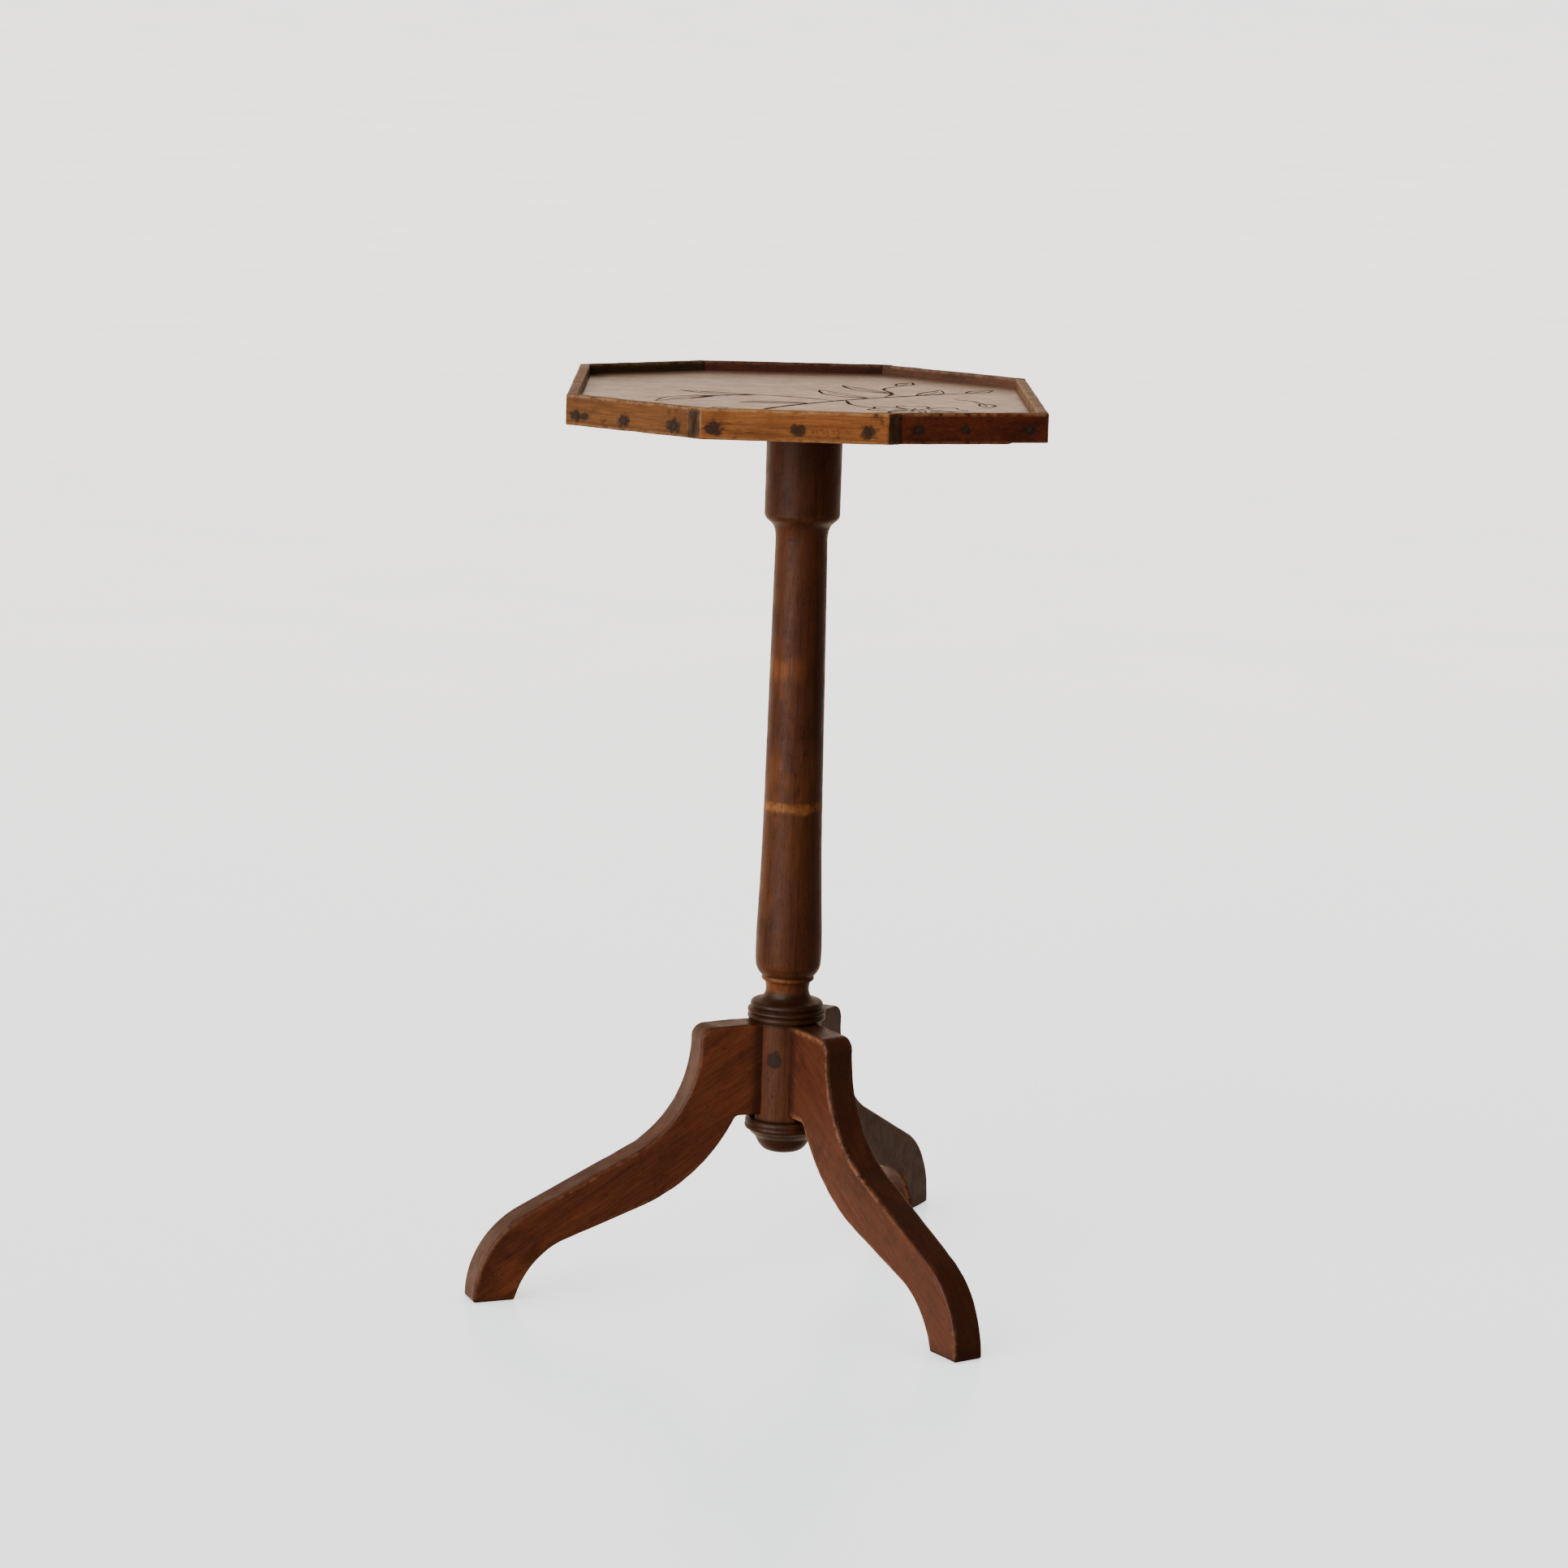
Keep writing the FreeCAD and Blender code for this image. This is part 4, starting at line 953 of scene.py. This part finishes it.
def make_world():
    """A dim room with pale walls: bright low down, brightest behind the table, dim on its right."""
    world = bpy.data.worlds.new("surround")
    world.use_nodes = True
    tree = world.node_tree
    where = tree.nodes.new("ShaderNodeTexCoord").outputs["Generated"]
    parts = tree.nodes.new("ShaderNodeSeparateXYZ")
    tree.links.new(where, parts.inputs[0])
    low = tree.nodes.new("ShaderNodeMapRange")
    back = tree.nodes.new("ShaderNodeMapRange")
    side = tree.nodes.new("ShaderNodeMapRange")
    for ramp, source, numbers in ((low, 2, (0.65, 0.15, 0.0, 1.0)), (back, 1, (-0.1, 0.9, 0.17, 1.45)),
                                  (side, 0, (0.15, 0.75, 1.0, 0.32))):
        ramp.interpolation_type = "SMOOTHSTEP"
        tree.links.new(parts.outputs[source], ramp.inputs[0])
        for socket, number in zip(ramp.inputs[1:5], numbers):
            socket.default_value = number
    across = tree.nodes.new("ShaderNodeMath")
    across.operation = "MULTIPLY"
    tree.links.new(back.outputs[0], across.inputs[0])
    tree.links.new(side.outputs[0], across.inputs[1])
    glow = tree.nodes.new("ShaderNodeMath")
    glow.operation = "MULTIPLY_ADD"
    tree.links.new(low.outputs[0], glow.inputs[0])
    tree.links.new(across.outputs[0], glow.inputs[1])
    glow.inputs[2].default_value = 0.11
    tree.links.new(glow.outputs[0], tree.nodes["Background"].inputs[1])
    tree.nodes["Background"].inputs[0].default_value = rgb(1.0, 0.74, 0.55)
    bpy.context.scene.world = world


def make_sun():
    """Broad daylight from the left, a little to the front."""
    sun = bpy.data.lights.new("daylight", "SUN")
    sun.energy = 3.15
    sun.angle = math.radians(60)
    sun.color = (1.0, 0.985, 0.96)
    lamp = bpy.data.objects.new("daylight", sun)
    lamp.rotation_euler = Vector((0.66, 0.66, -0.38)).to_track_quat("-Z", "Y").to_euler()
    bpy.context.scene.collection.objects.link(lamp)


def make_camera():
    """Camera in front of the table, its roll taken about its own line of sight."""
    ahead = Vector((math.sin(CAMERA_PAN) * math.cos(CAMERA_PITCH),
                    math.cos(CAMERA_PAN) * math.cos(CAMERA_PITCH), -math.sin(CAMERA_PITCH)))
    right = ahead.cross(Vector((0, 0, 1))).normalized()
    turn = Matrix.Rotation(CAMERA_ROLL, 3, ahead)
    right = turn @ right
    up = right.cross(ahead)
    facing = Matrix((right, up, -ahead)).transposed().to_4x4()
    lens = bpy.data.cameras.new("camera")
    lens.lens = CAMERA_LENS
    lens.sensor_width = 36.0
    camera = bpy.data.objects.new("camera", lens)
    camera.matrix_world = Matrix.Translation((0, -CAMERA_DISTANCE, CAMERA_HEIGHT)) @ facing
    bpy.context.scene.collection.objects.link(camera)
    bpy.context.scene.camera = camera


make_stage()
make_world()
make_sun()
make_camera()
